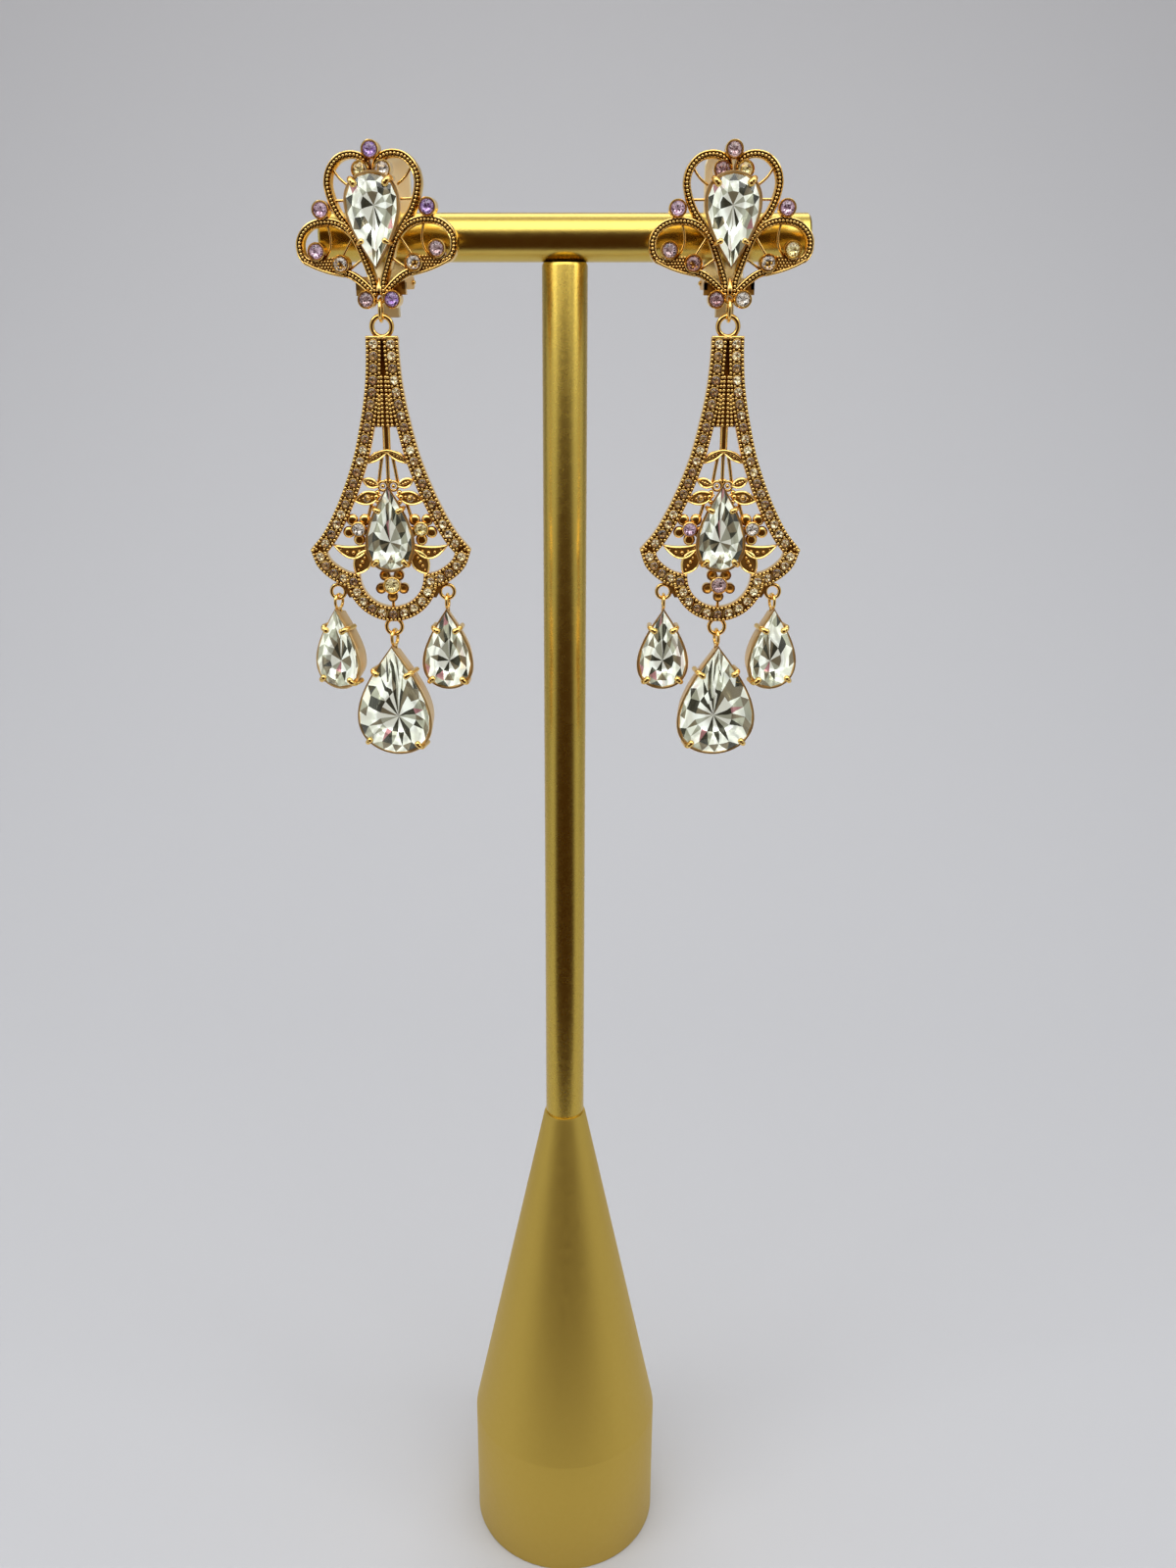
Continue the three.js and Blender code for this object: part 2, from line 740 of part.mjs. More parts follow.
const DROP_WIRES = [
  { steps: 1, line: [{ x: 0.05, down: 0.405 }, { x: 0.125, down: 0.515 }] },
  { steps: 1, line: [{ x: 0.215, down: 0.565 }, { x: 0.27, down: 0.625 }] },
];

const FLOWERS = [
  { name: "flower_l", x: -0.383, down: 0.66 },
  { name: "flower_r", x: 0.383, down: 0.66 },
  { name: "flower_foot", x: 0, down: 0.864 },
];

const FLOWER = { petals: 5, meanRadius: 2.1, lobe: 0.5, points: 15, thickness: 1.1 };

const RING_SPOT = { x: 0.68, down: 0.8905 };

const onDrop = (point, hand = 1) => ({
  x: hand * point.x * DROP.halfWidth,
  z: dropTopZ - point.down * DROP.height,
});

// Heights below the drop's own pivot, which is the middle of the wire at the top of its ring
const dropRingOuter = CHAIN.dropRingRadius + CHAIN.dropRingWireRadius;
const dropTopZ = -CHAIN.dropRingRadius - dropRingOuter + METAL.solderBite;
const linkFootZ = -2 * CHAIN.linkRadius;
const dropPivotZ =
  linkFootZ + CHAIN.linkWireRadius + CHAIN.dropRingWireRadius + METAL.clearance;

const bowlRadius = DROP.bowlShare * DROP.halfWidth;
const bowlZ = dropTopZ - DROP.height + DROP.bandWidth / 2 + bowlRadius;

const midStoneZ = dropTopZ - DROP.stoneTopShare * DROP.height - DROP.stoneLength / 2;

const footRingZ = dropTopZ - DROP.height - DROP.footRingRadius + DROP.footRingWireRadius;

const leaf = ({ root, tip, above, below }, hand) => {
  const a = onDrop(root, hand);
  const b = onDrop(tip, hand);
  const length = Math.hypot(b.x - a.x, b.z - a.z);
  const up = { x: (-hand * (b.z - a.z)) / length, z: (hand * (b.x - a.x)) / length };
  const middle = { x: (a.x + b.x) / 2, z: (a.z + b.z) / 2 };
  const bow = (share) => ({
    x: middle.x + 2 * share * DROP.halfWidth * up.x,
    z: middle.z + 2 * share * DROP.halfWidth * up.z,
  });
  const [upper, lower] = [bow(above), bow(-below)];
  const shape = new THREE.Shape();
  shape.moveTo(a.x, a.z);
  shape.quadraticCurveTo(lower.x, lower.z, b.x, b.z);
  shape.quadraticCurveTo(upper.x, upper.z, a.x, a.z);
  return flatPiece(shape, -DROP.leafThickness / 2, DROP.leafThickness / 2, 3);
};

const flower = (spot) => {
  const points = [];
  for (let i = 0; i < FLOWER.points; i += 1) {
    const turn = (2 * Math.PI * i) / FLOWER.points - Math.PI / 2;
    const petal = Math.cos(FLOWER.petals * (turn + Math.PI / 2));
    const radius = FLOWER.meanRadius + FLOWER.lobe * petal;
    points.push(new THREE.Vector2(radius * Math.cos(turn), radius * Math.sin(turn)));
  }
  const half = FLOWER.thickness / 2;
  return at(flatPiece(new THREE.Shape(points), -half, half), spot.x, 0, spot.z);
};

// Straight stems on the drop's middle line. Columns: width, then top and foot as shares of its height.
const STEMS = [
  { width: DROP.stemWidth, top: 0.29, foot: 0.395 },
  { width: DROP.wire, top: 0.39, foot: 0.53 },
  { width: DROP.wire, top: 0.9, foot: 0.975 },
];

const stem = (row) => {
  const top = dropTopZ - row.top * DROP.height;
  const foot = dropTopZ - row.foot * DROP.height;
  return at(new THREE.BoxGeometry(row.width, DROP.wire, top - foot), 0, 0, (top + foot) / 2);
};

const makeDropFrame = () => {
  const band = stoneBandSection(DROP.bandWidth, DROP.thickness, METAL.railWidth, METAL.channelDepth);
  const pieces = [];
  for (const hand of [1, -1]) {
    const place = (points) => points.map((p) => onDrop(p, hand));
    pieces.push(sweep(band, flatPath(place(ARM_LINE)), STEPS.arm));
    pieces.push(sweep(band, flatPath(place(ELBOW_LINE)), STEPS.elbow));
    pieces.push(flatPiece(outlineShape(place(GUSSET_OUTLINE)), -DROP.thickness / 2, DROP.thickness / 2));
    for (const row of LEAVES) pieces.push(leaf(row, hand));
    for (const { steps, line } of DROP_WIRES) pieces.push(wire(place(line), DROP.wire, steps));
    const spot = onDrop(RING_SPOT, hand);
    pieces.push(at(ring(DROP.ringRadius, DROP.ringWireRadius, "y"), spot.x, 0, spot.z));
  }
  const bowl = [];
  for (let i = 0; i <= STEPS.bowl; i += 1) {
    const turn = Math.PI + (Math.PI * i) / STEPS.bowl;
    bowl.push({ x: bowlRadius * Math.cos(turn), z: bowlZ + bowlRadius * Math.sin(turn) });
  }
  pieces.push(sweep(band, flatPath(bowl), STEPS.bowl));
  const wedgeFront = METAL.webInset - DROP.thickness / 2;
  pieces.push(flatPiece(outlineShape(WEDGE_OUTLINE.map((p) => onDrop(p))), wedgeFront, DROP.thickness / 2));
  for (const spot of FLOWERS.map((row) => onDrop(row))) {
    pieces.push(flower(spot));
    pieces.push(bezel(spot.x, spot.z));
  }
  for (const row of STEMS) pieces.push(stem(row));
  const setting = pearSetting(
    DROP.stoneWidth,
    DROP.stoneLength,
    DROP.settingFront,
    DROP.settingBack,
    DROP.clawTurns,
  );
  for (const piece of setting) pieces.push(at(piece, 0, 0, midStoneZ));
  pieces.push(at(ring(CHAIN.dropRingRadius, CHAIN.dropRingWireRadius, "y", 12), 0, 0, -CHAIN.dropRingRadius));
  pieces.push(at(ring(DROP.footRingRadius, DROP.footRingWireRadius, "y"), 0, 0, footRingZ));
  return joined(pieces);
};

// The small drops: a bail seen edge on, and below it a pear-shaped cup, tip up, with its stone

const bailTopZ = (hookRadius, hookWire, bailWire) => -hookRadius + hookWire + bailWire + METAL.clearance;

const settingFront = (size) => size.settingDepth * SETTING.frontShare;

const makeDropSetting = (size) => {
  const stoneZ = dropStoneZ(size);
  const front = settingFront(size);
  const back = size.settingDepth - front;
  const pieces = pearSetting(size.stoneWidth, size.stoneLength, front, back, size.clawTurns);
  for (const piece of pieces) at(piece, 0, 0, stoneZ);
  pieces.push(at(ring(size.bailRadius, size.bailWireRadius, "x"), 0, 0, -size.bailRadius));
  const neckTop = -2 * size.bailRadius + size.bailWireRadius / 2;
  const neck = new THREE.BoxGeometry(2 * size.bailWireRadius, size.neckThickness, size.neckHeight);
  pieces.push(at(neck, 0, 0, neckTop - size.neckHeight / 2));
  return joined(pieces);
};

// The stone's middle below the bail's top wire: the stone's tip reaches up to the foot of the bail
const dropStoneZ = (size) =>
  -2 * size.bailRadius - size.bailWireRadius + METAL.clearance - size.stoneLength / 2;

const HOOKS = [
  { name: "outer", size: SMALL_DROP, sideways: 1, radius: DROP.ringRadius, wire: DROP.ringWireRadius },
  { name: "inner", size: SMALL_DROP, sideways: -1, radius: DROP.ringRadius, wire: DROP.ringWireRadius },
  { name: "middle", size: BIG_DROP, sideways: 0, radius: DROP.footRingRadius, wire: DROP.footRingWireRadius },
];

// The assembly

const model = new THREE.Group();

const put = (parent, name, geometry, material, x = 0, y = 0, z = 0) => {
  const mesh = new THREE.Mesh(geometry, material);
  mesh.name = name;
  mesh.position.set(x, y, z);
  parent.add(mesh);
};

const addStand = () => {
  put(model, "stand_base", makeBase(), MATERIALS.satinGold);
  put(model, "stand_post", makePost(), MATERIALS.satinGold);
  put(model, "stand_bar", barBlank(STAND.barRadius), MATERIALS.satinGold);
};

const addTopPlate = (earring, tag) => {
  const plate = new THREE.Group();
  plate.rotation.order = "ZYX";
  plate.rotation.set(0, radians(tag.lean), radians(tag.yaw));
  earring.add(plate);
  put(plate, `top_frame_${tag.side}`, makeTopFrame(), MATERIALS.brightGold);
  put(plate, `clip_lever_${tag.side}`, makeLever(), MATERIALS.brightGold);
  const stone = tipDown(pearStone(TOP_PLATE.stoneWidth, TOP_PLATE.stoneLength));
  const front = -stoneFront(TOP_PLATE.settingFront);
  put(plate, `top_stone_${tag.side}`, stone, MATERIALS.crystal, 0, front, topStoneZ);
  for (const spot of plateStoneSpots()) {
    const name = `${spot.name}_stone_${tag.side}`;
    put(plate, name, roundStone(), MATERIALS.smokyStone, spot.x, -roundStoneFront, spot.z);
  }
};

const addDrop = (earring, tag) => {
  const drop = new THREE.Group();
  drop.position.set(0, 0, dropPivotZ);
  earring.add(drop);
  put(drop, `drop_frame_${tag.side}`, makeDropFrame(), MATERIALS.brightGold);
  const stone = pearStone(DROP.stoneWidth, DROP.stoneLength);
  const front = -stoneFront(DROP.settingFront);
  put(drop, `drop_stone_${tag.side}`, stone, MATERIALS.crystal, 0, front, midStoneZ);
  for (const row of FLOWERS) {
    const spot = onDrop(row);
    const name = `${row.name}_stone_${tag.side}`;
    put(drop, name, roundStone(), MATERIALS.smokyStone, spot.x, -roundStoneFront, spot.z);
  }
  const outward = tag.side === "right" ? 1 : -1;
  for (const hook of HOOKS) {
    const spot = onDrop(RING_SPOT, hook.sideways * outward);
    const hangs = new THREE.Group();
    const hookZ = hook.sideways === 0 ? footRingZ : spot.z;
    const hookX = hook.sideways === 0 ? 0 : spot.x;
    hangs.position.set(hookX, 0, hookZ + bailTopZ(hook.radius, hook.wire, hook.size.bailWireRadius));
    hangs.rotation.z = radians(tag[`${hook.name}Yaw`]);
    drop.add(hangs);
    const size = hook.size;
    put(hangs, `${hook.name}_setting_${tag.side}`, makeDropSetting(size), MATERIALS.brightGold);
    const stone = pearStone(size.stoneWidth, size.stoneLength);
    const front = -stoneFront(settingFront(size));
    put(hangs, `${hook.name}_stone_${tag.side}`, stone, MATERIALS.crystal, 0, front, dropStoneZ(size));
  }
};

addStand();
for (const tag of EARRINGS) {
  const earring = new THREE.Group();
  earring.position.set(tag.x, HANG_Y, HANG_Z);
  model.add(earring);
  addTopPlate(earring, tag);
  const link = ring(CHAIN.linkRadius, CHAIN.linkWireRadius, "x", 12);
  put(earring, `jump_ring_${tag.side}`, link, MATERIALS.brightGold, 0, 0, -CHAIN.linkRadius);
  addDrop(earring, tag);
}

export default model;
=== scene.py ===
"""Looks of a pair of chandelier clip earrings that hang on a gold T-bar stand.

Every piece is drawn in millimetres in its own frame, with the viewer towards -Y, and then set into the
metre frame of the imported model.
"""

import json
import logging
import math
import random
from collections.abc import Iterable, Sequence
from dataclasses import dataclass, field
from enum import Enum

import bmesh
import bpy
from mathutils import Matrix, Vector


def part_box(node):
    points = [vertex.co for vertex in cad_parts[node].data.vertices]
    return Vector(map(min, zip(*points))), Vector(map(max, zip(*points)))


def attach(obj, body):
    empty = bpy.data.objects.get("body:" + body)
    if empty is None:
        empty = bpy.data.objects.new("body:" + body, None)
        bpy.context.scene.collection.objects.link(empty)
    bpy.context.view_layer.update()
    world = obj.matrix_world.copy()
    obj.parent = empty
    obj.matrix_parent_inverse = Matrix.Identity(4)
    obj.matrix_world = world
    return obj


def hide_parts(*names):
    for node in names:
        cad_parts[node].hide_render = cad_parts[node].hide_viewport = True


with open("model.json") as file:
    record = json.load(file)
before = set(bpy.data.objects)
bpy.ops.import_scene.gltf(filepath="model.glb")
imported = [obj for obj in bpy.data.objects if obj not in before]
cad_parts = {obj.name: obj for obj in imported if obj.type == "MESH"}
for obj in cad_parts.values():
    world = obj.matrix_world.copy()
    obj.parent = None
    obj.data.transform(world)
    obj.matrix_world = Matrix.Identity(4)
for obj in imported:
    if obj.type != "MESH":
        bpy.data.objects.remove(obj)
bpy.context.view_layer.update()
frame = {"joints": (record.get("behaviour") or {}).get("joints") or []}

LOG = logging.getLogger("earrings")
MM = 0.001
FRONT = Matrix.Rotation(math.radians(90), 4, "X")

Colour = tuple[float, float, float]
Mark = tuple[float, float]
Row = tuple[float, float, float]


class Side(Enum):
    """Which earring of the pair, as the viewer sees it."""

    LEFT = "left"
    RIGHT = "right"


class Axis(Enum):
    """The axis that a wire ring is wound round."""

    FRONT = "front"
    ACROSS = "across"


class Hue(Enum):
    """The colours that the small round stones come in."""

    VIOLET = "violet"
    LILAC = "lilac"
    SMOKE = "smoke"
    BROWN = "brown"
    CHAMPAGNE = "champagne"
    CLEAR = "clear"


# Finishes


class Shader:
    """A node material in the making, with the few node patterns that the finishes share."""

    def __init__(self, name: str) -> None:
        """Starts a material with one principled shader.

        Args:
            name: The material's name.
        """
        self.material = bpy.data.materials.new(name)
        self.material.use_nodes = True
        self.nodes = self.material.node_tree.nodes
        self.links = self.material.node_tree.links
        self.principled = self.nodes["Principled BSDF"]
        self.place = self.nodes.new("ShaderNodeTexCoord").outputs["Object"]

    def set(self, **values: object) -> None:
        """Sets sockets of the shader; an underscore in a name stands for a space.

        Args:
            values: Socket names and their values.
        """
        for name, value in values.items():
            self.principled.inputs[name.replace("_", " ")].default_value = value

    def noise(self, scale: float, detail: float = 2.0) -> bpy.types.NodeSocket:
        """A noise pattern fixed to the piece.

        Args:
            scale: Cells to the metre.
            detail: How many finer layers it has.

        Returns:
            The pattern's value socket.
        """
        node = self.nodes.new("ShaderNodeTexNoise")
        node.inputs["Scale"].default_value = scale
        node.inputs["Detail"].default_value = detail
        self.links.new(self.place, node.inputs["Vector"])
        return node.outputs["Fac"]

    def ramp(
        self,
        fac: bpy.types.NodeSocket,
        stops: Sequence[tuple[float, Colour]],
        blend: str = "LINEAR",
    ) -> bpy.types.NodeSocket:
        """Turns a value into a colour.

        Args:
            fac: The value.
            stops: Places from 0 to 1 and their colours.
            blend: How the colours between two places are found.

        Returns:
            The colour socket.
        """
        node = self.nodes.new("ShaderNodeValToRGB")
        self.links.new(fac, node.inputs["Fac"])
        node.color_ramp.interpolation = blend
        elements = node.color_ramp.elements
        while len(elements) < len(stops):
            elements.new(0.5)
        for element, (place, colour) in zip(elements, stops):
            element.position = place
            element.color = (*colour, 1.0)
        return node.outputs["Color"]

    def spread(self, fac: bpy.types.NodeSocket, low: float, high: float) -> bpy.types.NodeSocket:
        """Maps a noise value to a range.

        Args:
            fac: The noise value.
            low: The result at the noise's low end.
            high: The result at its high end.

        Returns:
            The mapped socket.
        """
        node = self.nodes.new("ShaderNodeMapRange")
        node.inputs["From Min"].default_value = 0.3
        node.inputs["From Max"].default_value = 0.7
        node.inputs["To Min"].default_value = low
        node.inputs["To Max"].default_value = high
        self.links.new(fac, node.inputs["Value"])
        return node.outputs["Result"]

    def bump(self, height: bpy.types.NodeSocket, distance: float, strength: float) -> None:
        """Roughens the surface's normal.

        Args:
            height: The height pattern.
            distance: Its depth in metres.
            strength: How much of it shows.
        """
        node = self.nodes.new("ShaderNodeBump")
        node.inputs["Distance"].default_value = distance
        node.inputs["Strength"].default_value = strength
        self.links.new(height, node.inputs["Height"])
        self.links.new(node.outputs["Normal"], self.principled.inputs["Normal"])

    def hollow(self, distance: float) -> bpy.types.NodeSocket:
        """How open a spot is to its surroundings, from 0 in a crevice to 1; the gold finishes paint shade into
        crevices with it.

        Args:
            distance: How far away a wall still counts, in metres.

        Returns:
            The value socket.
        """
        node = self.nodes.new("ShaderNodeAmbientOcclusion")
        node.inputs["Distance"].default_value = distance
        node.samples = 6
        node.only_local = True
        return node.outputs["AO"]


@dataclass(frozen=True)
class GoldFinish:
    """Gold plating, from polished to sand-blasted, darker and redder in its hollows by painted shade."""

    name: str
    colour: Colour
    painted_shade_colour: Colour
    roughness: float
    roughness_spread: float = 0.05
    grain: float = 6000.0
    grain_depth: float = 0.00001
    grain_strength: float = 0.15
    painted_shade_reach: float = 0.0007

    def make(self) -> bpy.types.Material:
        """Makes the material.

        Returns:
            The gold material.
        """
        shader = Shader(self.name)
        shader.set(Metallic=1.0, Base_Color=(*self.colour, 1.0))
        # Painted shade: an occlusion mask darkens and reddens the colour in hollows and crevices.
        if self.painted_shade_reach:
            stops = [(0.3, self.painted_shade_colour), (0.9, self.colour)]
            colour = shader.ramp(shader.hollow(self.painted_shade_reach), stops)
            shader.links.new(colour, shader.principled.inputs["Base Color"])
        low = self.roughness - self.roughness_spread
        high = self.roughness + self.roughness_spread
        rough = shader.spread(shader.noise(self.grain / 12), low, high)
        shader.links.new(rough, shader.principled.inputs["Roughness"])
        shader.bump(shader.noise(self.grain), self.grain_depth, self.grain_strength)
        return shader.material


@dataclass(frozen=True)
class CrystalFinish:
    """Cut crystal with a foiled back: clear facets in front and mirror facets behind, whose painted reflection tones
    glow as painted light.
    """

    name: str
    colour: Colour
    # The foil's tones, from dark to light, are painted reflections; the flash colour is a painted glint, and the
    # glow makes the foil give off painted light.
    dark: Colour
    warm: Colour
    middle: Colour
    light: Colour
    painted_glint: Colour
    painted_glow: float = 0.35

    def glass(self) -> bpy.types.Material:
        """Makes the clear front.

        Returns:
            The glass material.
        """
        shader = Shader(self.name)
        shader.set(Base_Color=(*self.colour, 1.0), Transmission_Weight=1.0, IOR=1.56)
        rough = shader.spread(shader.noise(900.0), 0.0, 0.02)
        shader.links.new(rough, shader.principled.inputs["Roughness"])
        return shader.material

    def foil(self) -> bpy.types.Material:
        """Makes the foiled back, whose facets each take a painted reflection tone and give it off as a painted glow.

        Returns:
            The foil material.
        """
        shader = Shader(self.name + "_foil_painted_glow")
        # Painted reflections: each facet's random value picks a tone, which the foil also gives off as a painted
        # glow.
        facet = shader.nodes.new("ShaderNodeAttribute")
        facet.attribute_name = "facet"
        stops = [
            (0.0, self.dark),
            (0.15, self.warm),
            (0.31, self.middle),
            (0.53, self.light),
            (0.975, self.painted_glint),
            (0.99, self.light),
        ]
        colour = shader.ramp(facet.outputs["Fac"], stops, "CONSTANT")
        shader.links.new(colour, shader.principled.inputs["Base Color"])
        shader.links.new(colour, shader.principled.inputs["Emission Color"])
        # Painted glow: the foil emits its tones though it is no lamp.
        shader.set(Metallic=0.7, Emission_Strength=self.painted_glow)
        rough = shader.spread(shader.noise(1500.0), 0.05, 0.16)
        shader.links.new(rough, shader.principled.inputs["Roughness"])
        return shader.material


# The second colour of each gold finish is the painted shade in its hollows.
POLISHED = GoldFinish("polished_gold", (0.97, 0.65, 0.2), (0.42, 0.17, 0.025), 0.17)
# A darker copy of the gold with deeper painted shade, for the floors of recesses.
RECESS_SHADE_GOLD = GoldFinish("recess_painted_shade_gold", (0.76, 0.4, 0.08), (0.16, 0.055, 0.008), 0.36, painted_shade_reach=0.0007)
LEAF_FACE = GoldFinish(
    "engraved_leaf_gold", (0.92, 0.57, 0.15), (0.45, 0.2, 0.035), 0.36, painted_shade_reach=0.0004
)
CUP_WALL = GoldFinish("satin_cup_wall", (0.9, 0.64, 0.3), (0.5, 0.26, 0.08), 0.4, grain_strength=0.3)
CLIP = GoldFinish("pale_clip_metal", (1.0, 0.88, 0.6), (0.7, 0.45, 0.18), 0.5)
SATIN_BAR = GoldFinish(
    "speckled_bar_gold", (0.68, 0.49, 0.11), (0.4, 0.2, 0.05), 0.25, 0.015,
    grain=9000.0, grain_depth=0.00002, grain_strength=0.55, painted_shade_reach=0.0,
)
SATIN_POST = GoldFinish(
    "satin_post_gold", (0.64, 0.45, 0.085), (0.35, 0.18, 0.04), 0.27, 0.015,
    grain=9000.0, grain_depth=0.00002, grain_strength=0.45, painted_shade_reach=0.0,
)
SATIN_BASE = GoldFinish(
    "blasted_base_gold", (0.64, 0.45, 0.09), (0.36, 0.22, 0.06), 0.5, 0.02,
    grain=11000.0, grain_depth=0.00002, grain_strength=0.5, painted_shade_reach=0.0,
)

# The dark to light tones of each crystal finish are painted reflections on its foil, with a painted glint and a
# painted glow.
PAINTED_WHITE_REFLECTION = (0.93, 0.96, 0.88)
CLEAR_STONE = CrystalFinish(
    "clear_crystal", (0.98, 0.99, 0.95), (0.05, 0.05, 0.035), (0.2, 0.17, 0.11), (0.42, 0.43, 0.34),
    PAINTED_WHITE_REFLECTION, (0.4, 0.19, 0.2), 0.5,
)
PAVE_STONE = CrystalFinish(
    "champagne_pave", (0.98, 0.94, 0.82), (0.03, 0.015, 0.006), (0.18, 0.08, 0.035), (0.34, 0.23, 0.09),
    (0.85, 0.8, 0.56), (1.0, 1.0, 0.9), 0.5,
)
HUES = {
    Hue.VIOLET: CrystalFinish(
        "violet_stone", (0.82, 0.72, 0.9), (0.06, 0.03, 0.06), (0.2, 0.1, 0.22), (0.32, 0.2, 0.42),
        (0.55, 0.44, 0.62), (0.35, 0.15, 1.0),
    ),
    Hue.LILAC: CrystalFinish(
        "lilac_stone", (0.9, 0.82, 0.88), (0.08, 0.04, 0.06), (0.24, 0.13, 0.17), (0.42, 0.28, 0.36),
        (0.75, 0.6, 0.68), (0.9, 0.8, 0.9),
    ),
    Hue.SMOKE: CrystalFinish(
        "smoky_stone", (0.85, 0.76, 0.76), (0.06, 0.035, 0.035), (0.2, 0.12, 0.12), (0.36, 0.25, 0.25),
        (0.62, 0.5, 0.5), (0.85, 0.8, 0.8),
    ),
    Hue.BROWN: CrystalFinish(
        "brown_lilac_stone", (0.8, 0.66, 0.66), (0.06, 0.025, 0.02), (0.2, 0.09, 0.09), (0.34, 0.2, 0.2),
        (0.55, 0.4, 0.4), (0.8, 0.7, 0.7),
    ),
    Hue.CHAMPAGNE: CrystalFinish(
        "champagne_stone", (0.96, 0.9, 0.68), (0.12, 0.07, 0.02), (0.32, 0.2, 0.06), (0.52, 0.42, 0.18),
        (0.9, 0.84, 0.55), (0.95, 0.95, 0.85),
    ),
    Hue.CLEAR: CrystalFinish(
        "grey_clear_stone", (0.94, 0.92, 0.88), (0.07, 0.06, 0.05), (0.22, 0.18, 0.14), (0.42, 0.37, 0.32),
        (0.85, 0.82, 0.76), (0.95, 0.95, 0.9),
    ),
}
GOLD_SLOT, WALL_SLOT, PAINTED_SHADE_SLOT, LEAF_SLOT = 0, 1, 2, 3


class Finishes:
    """Makes each finish once and hands it out by name."""

    def __init__(self) -> None:
        """Starts with no finish made."""
        self.made: dict[str, bpy.types.Material] = {}

    def gold(self, finish: GoldFinish) -> bpy.types.Material:
        """The material of a gold finish."""
        if finish.name not in self.made:
            self.made[finish.name] = finish.make()
        return self.made[finish.name]

    def jewel_metals(self) -> list[bpy.types.Material]:
        """The metals of a jewel's pieces, in the order of their slots."""
        return [self.gold(finish) for finish in (POLISHED, CUP_WALL, RECESS_SHADE_GOLD, LEAF_FACE)]

    def crystal(self, finish: CrystalFinish) -> list[bpy.types.Material]:
        """The glass and foil materials of a crystal finish."""
        if finish.name not in self.made:
            self.made[finish.name] = finish.glass()
            self.made[finish.name + "_foil_painted_glow"] = finish.foil()
        return [self.made[finish.name], self.made[finish.name + "_foil_painted_glow"]]


# Lines


def even(line: Sequence[Vector], step: float) -> list[Vector]:
    """Spaces a line's points evenly.

    Args:
        line: The line's points.
        step: The wanted distance between points.

    Returns:
        The new points, with the same two ends.
    """
    lengths = [(b - a).length for a, b in zip(line, line[1:])]
    total = sum(lengths)
    count = max(1, round(total / step))
    result = [line[0].copy()]
    index, passed = 0, 0.0
    for k in range(1, count):
        wanted = total * k / count
        while passed + lengths[index] < wanted:
            passed += lengths[index]
            index += 1
        result.append(line[index].lerp(line[index + 1], (wanted - passed) / lengths[index]))
    result.append(line[-1].copy())
    return result


def smooth_line(marks: Sequence[Sequence[float]], step: float) -> list[Vector]:
    """A smooth line through marks.

    Args:
        marks: The points that it passes through.
        step: The distance between the line's points.

    Returns:
        The line's points.
    """
    points = [Vector(mark) for mark in marks]
    cuts = 12
    dense = []
    for i in range(len(points) - 1):
        p1, p2 = points[i], points[i + 1]
        p0 = points[i - 1] if i else 2 * p1 - p2
        p3 = points[i + 2] if i + 2 < len(points) else 2 * p2 - p1
        for k in range(cuts):
            t = k / cuts
            bend = 2 * p0 - 5 * p1 + 4 * p2 - p3
            twist = 3 * p1 - p0 - 3 * p2 + p3
            dense.append(0.5 * (2 * p1 + (p2 - p0) * t + bend * t * t + twist * t**3))
    dense.append(points[-1])
    return even(dense, step)


def mitres(line: Sequence[Vector], closed: bool = False) -> list[Vector]:
    """The sideways direction at each point of a flat line, lengthened where the line turns.

    Args:
        line: The line's points in its plane.
        closed: Whether the line's ends meet.

    Returns:
        One vector for each point; times an offset it leads to the offset line.
    """
    sharpest = 0.55
    count = len(line)
    result = []
    for i in range(count):
        before = line[i] - line[i - 1] if closed or i > 0 else line[1] - line[0]
        after = line[(i + 1) % count] - line[i] if closed or i < count - 1 else line[-1] - line[-2]
        before.normalize()
        after.normalize()
        side = Vector((-before.y, before.x)) + Vector((-after.y, after.x))
        side.normalize()
        result.append(side / max(sharpest, side.dot(Vector((-before.y, before.x)))))
    return result


def offset_line(line: Sequence[Vector], across: float, closed: bool = False) -> list[Vector]:
    """The line beside a flat line.

    Args:
        line: The line's points.
        across: How far to its left.
        closed: Whether the line's ends meet.

    Returns:
        The points of the line beside it.
    """
    return [point + side * across for point, side in zip(line, mitres(line, closed))]


def arc(centre: Mark, radius: float, start: float, end: float, count: int) -> list[Vector]:
    """Points on an arc.

    Args:
        centre: The arc's centre.
        radius: Its radius.
        start: Where it starts, in degrees.
        end: Where it ends, in degrees.
        count: How many spaces it is cut into.

    Returns:
        The points.
    """
    turns = [math.radians(start + (end - start) * k / count) for k in range(count + 1)]
    return [Vector((centre[0] + radius * math.cos(t), centre[1] + radius * math.sin(t))) for t in turns]


@dataclass(frozen=True)
class RoundOutline:
    """A round stone's or bezel's outline."""

    radius: float = 1.0

    def spot(self, turn: float, growth: float = 0.0) -> Vector:
        """A point of the outline, a quarter turn from its top for a quarter of a turn."""
        return Vector((math.sin(turn), math.cos(turn))) * (self.radius + growth)

    def middle(self) -> Vector:
        """The point that its facets close in on."""
        return Vector((0.0, 0.0))


PEAR_SHARPNESS = 1.2
PEAR_TURNS = [math.pi * k / 360 for k in range(361)]
PEAR_WIDEST = max(math.sin(turn) * math.sin(turn / 2) ** PEAR_SHARPNESS for turn in PEAR_TURNS)


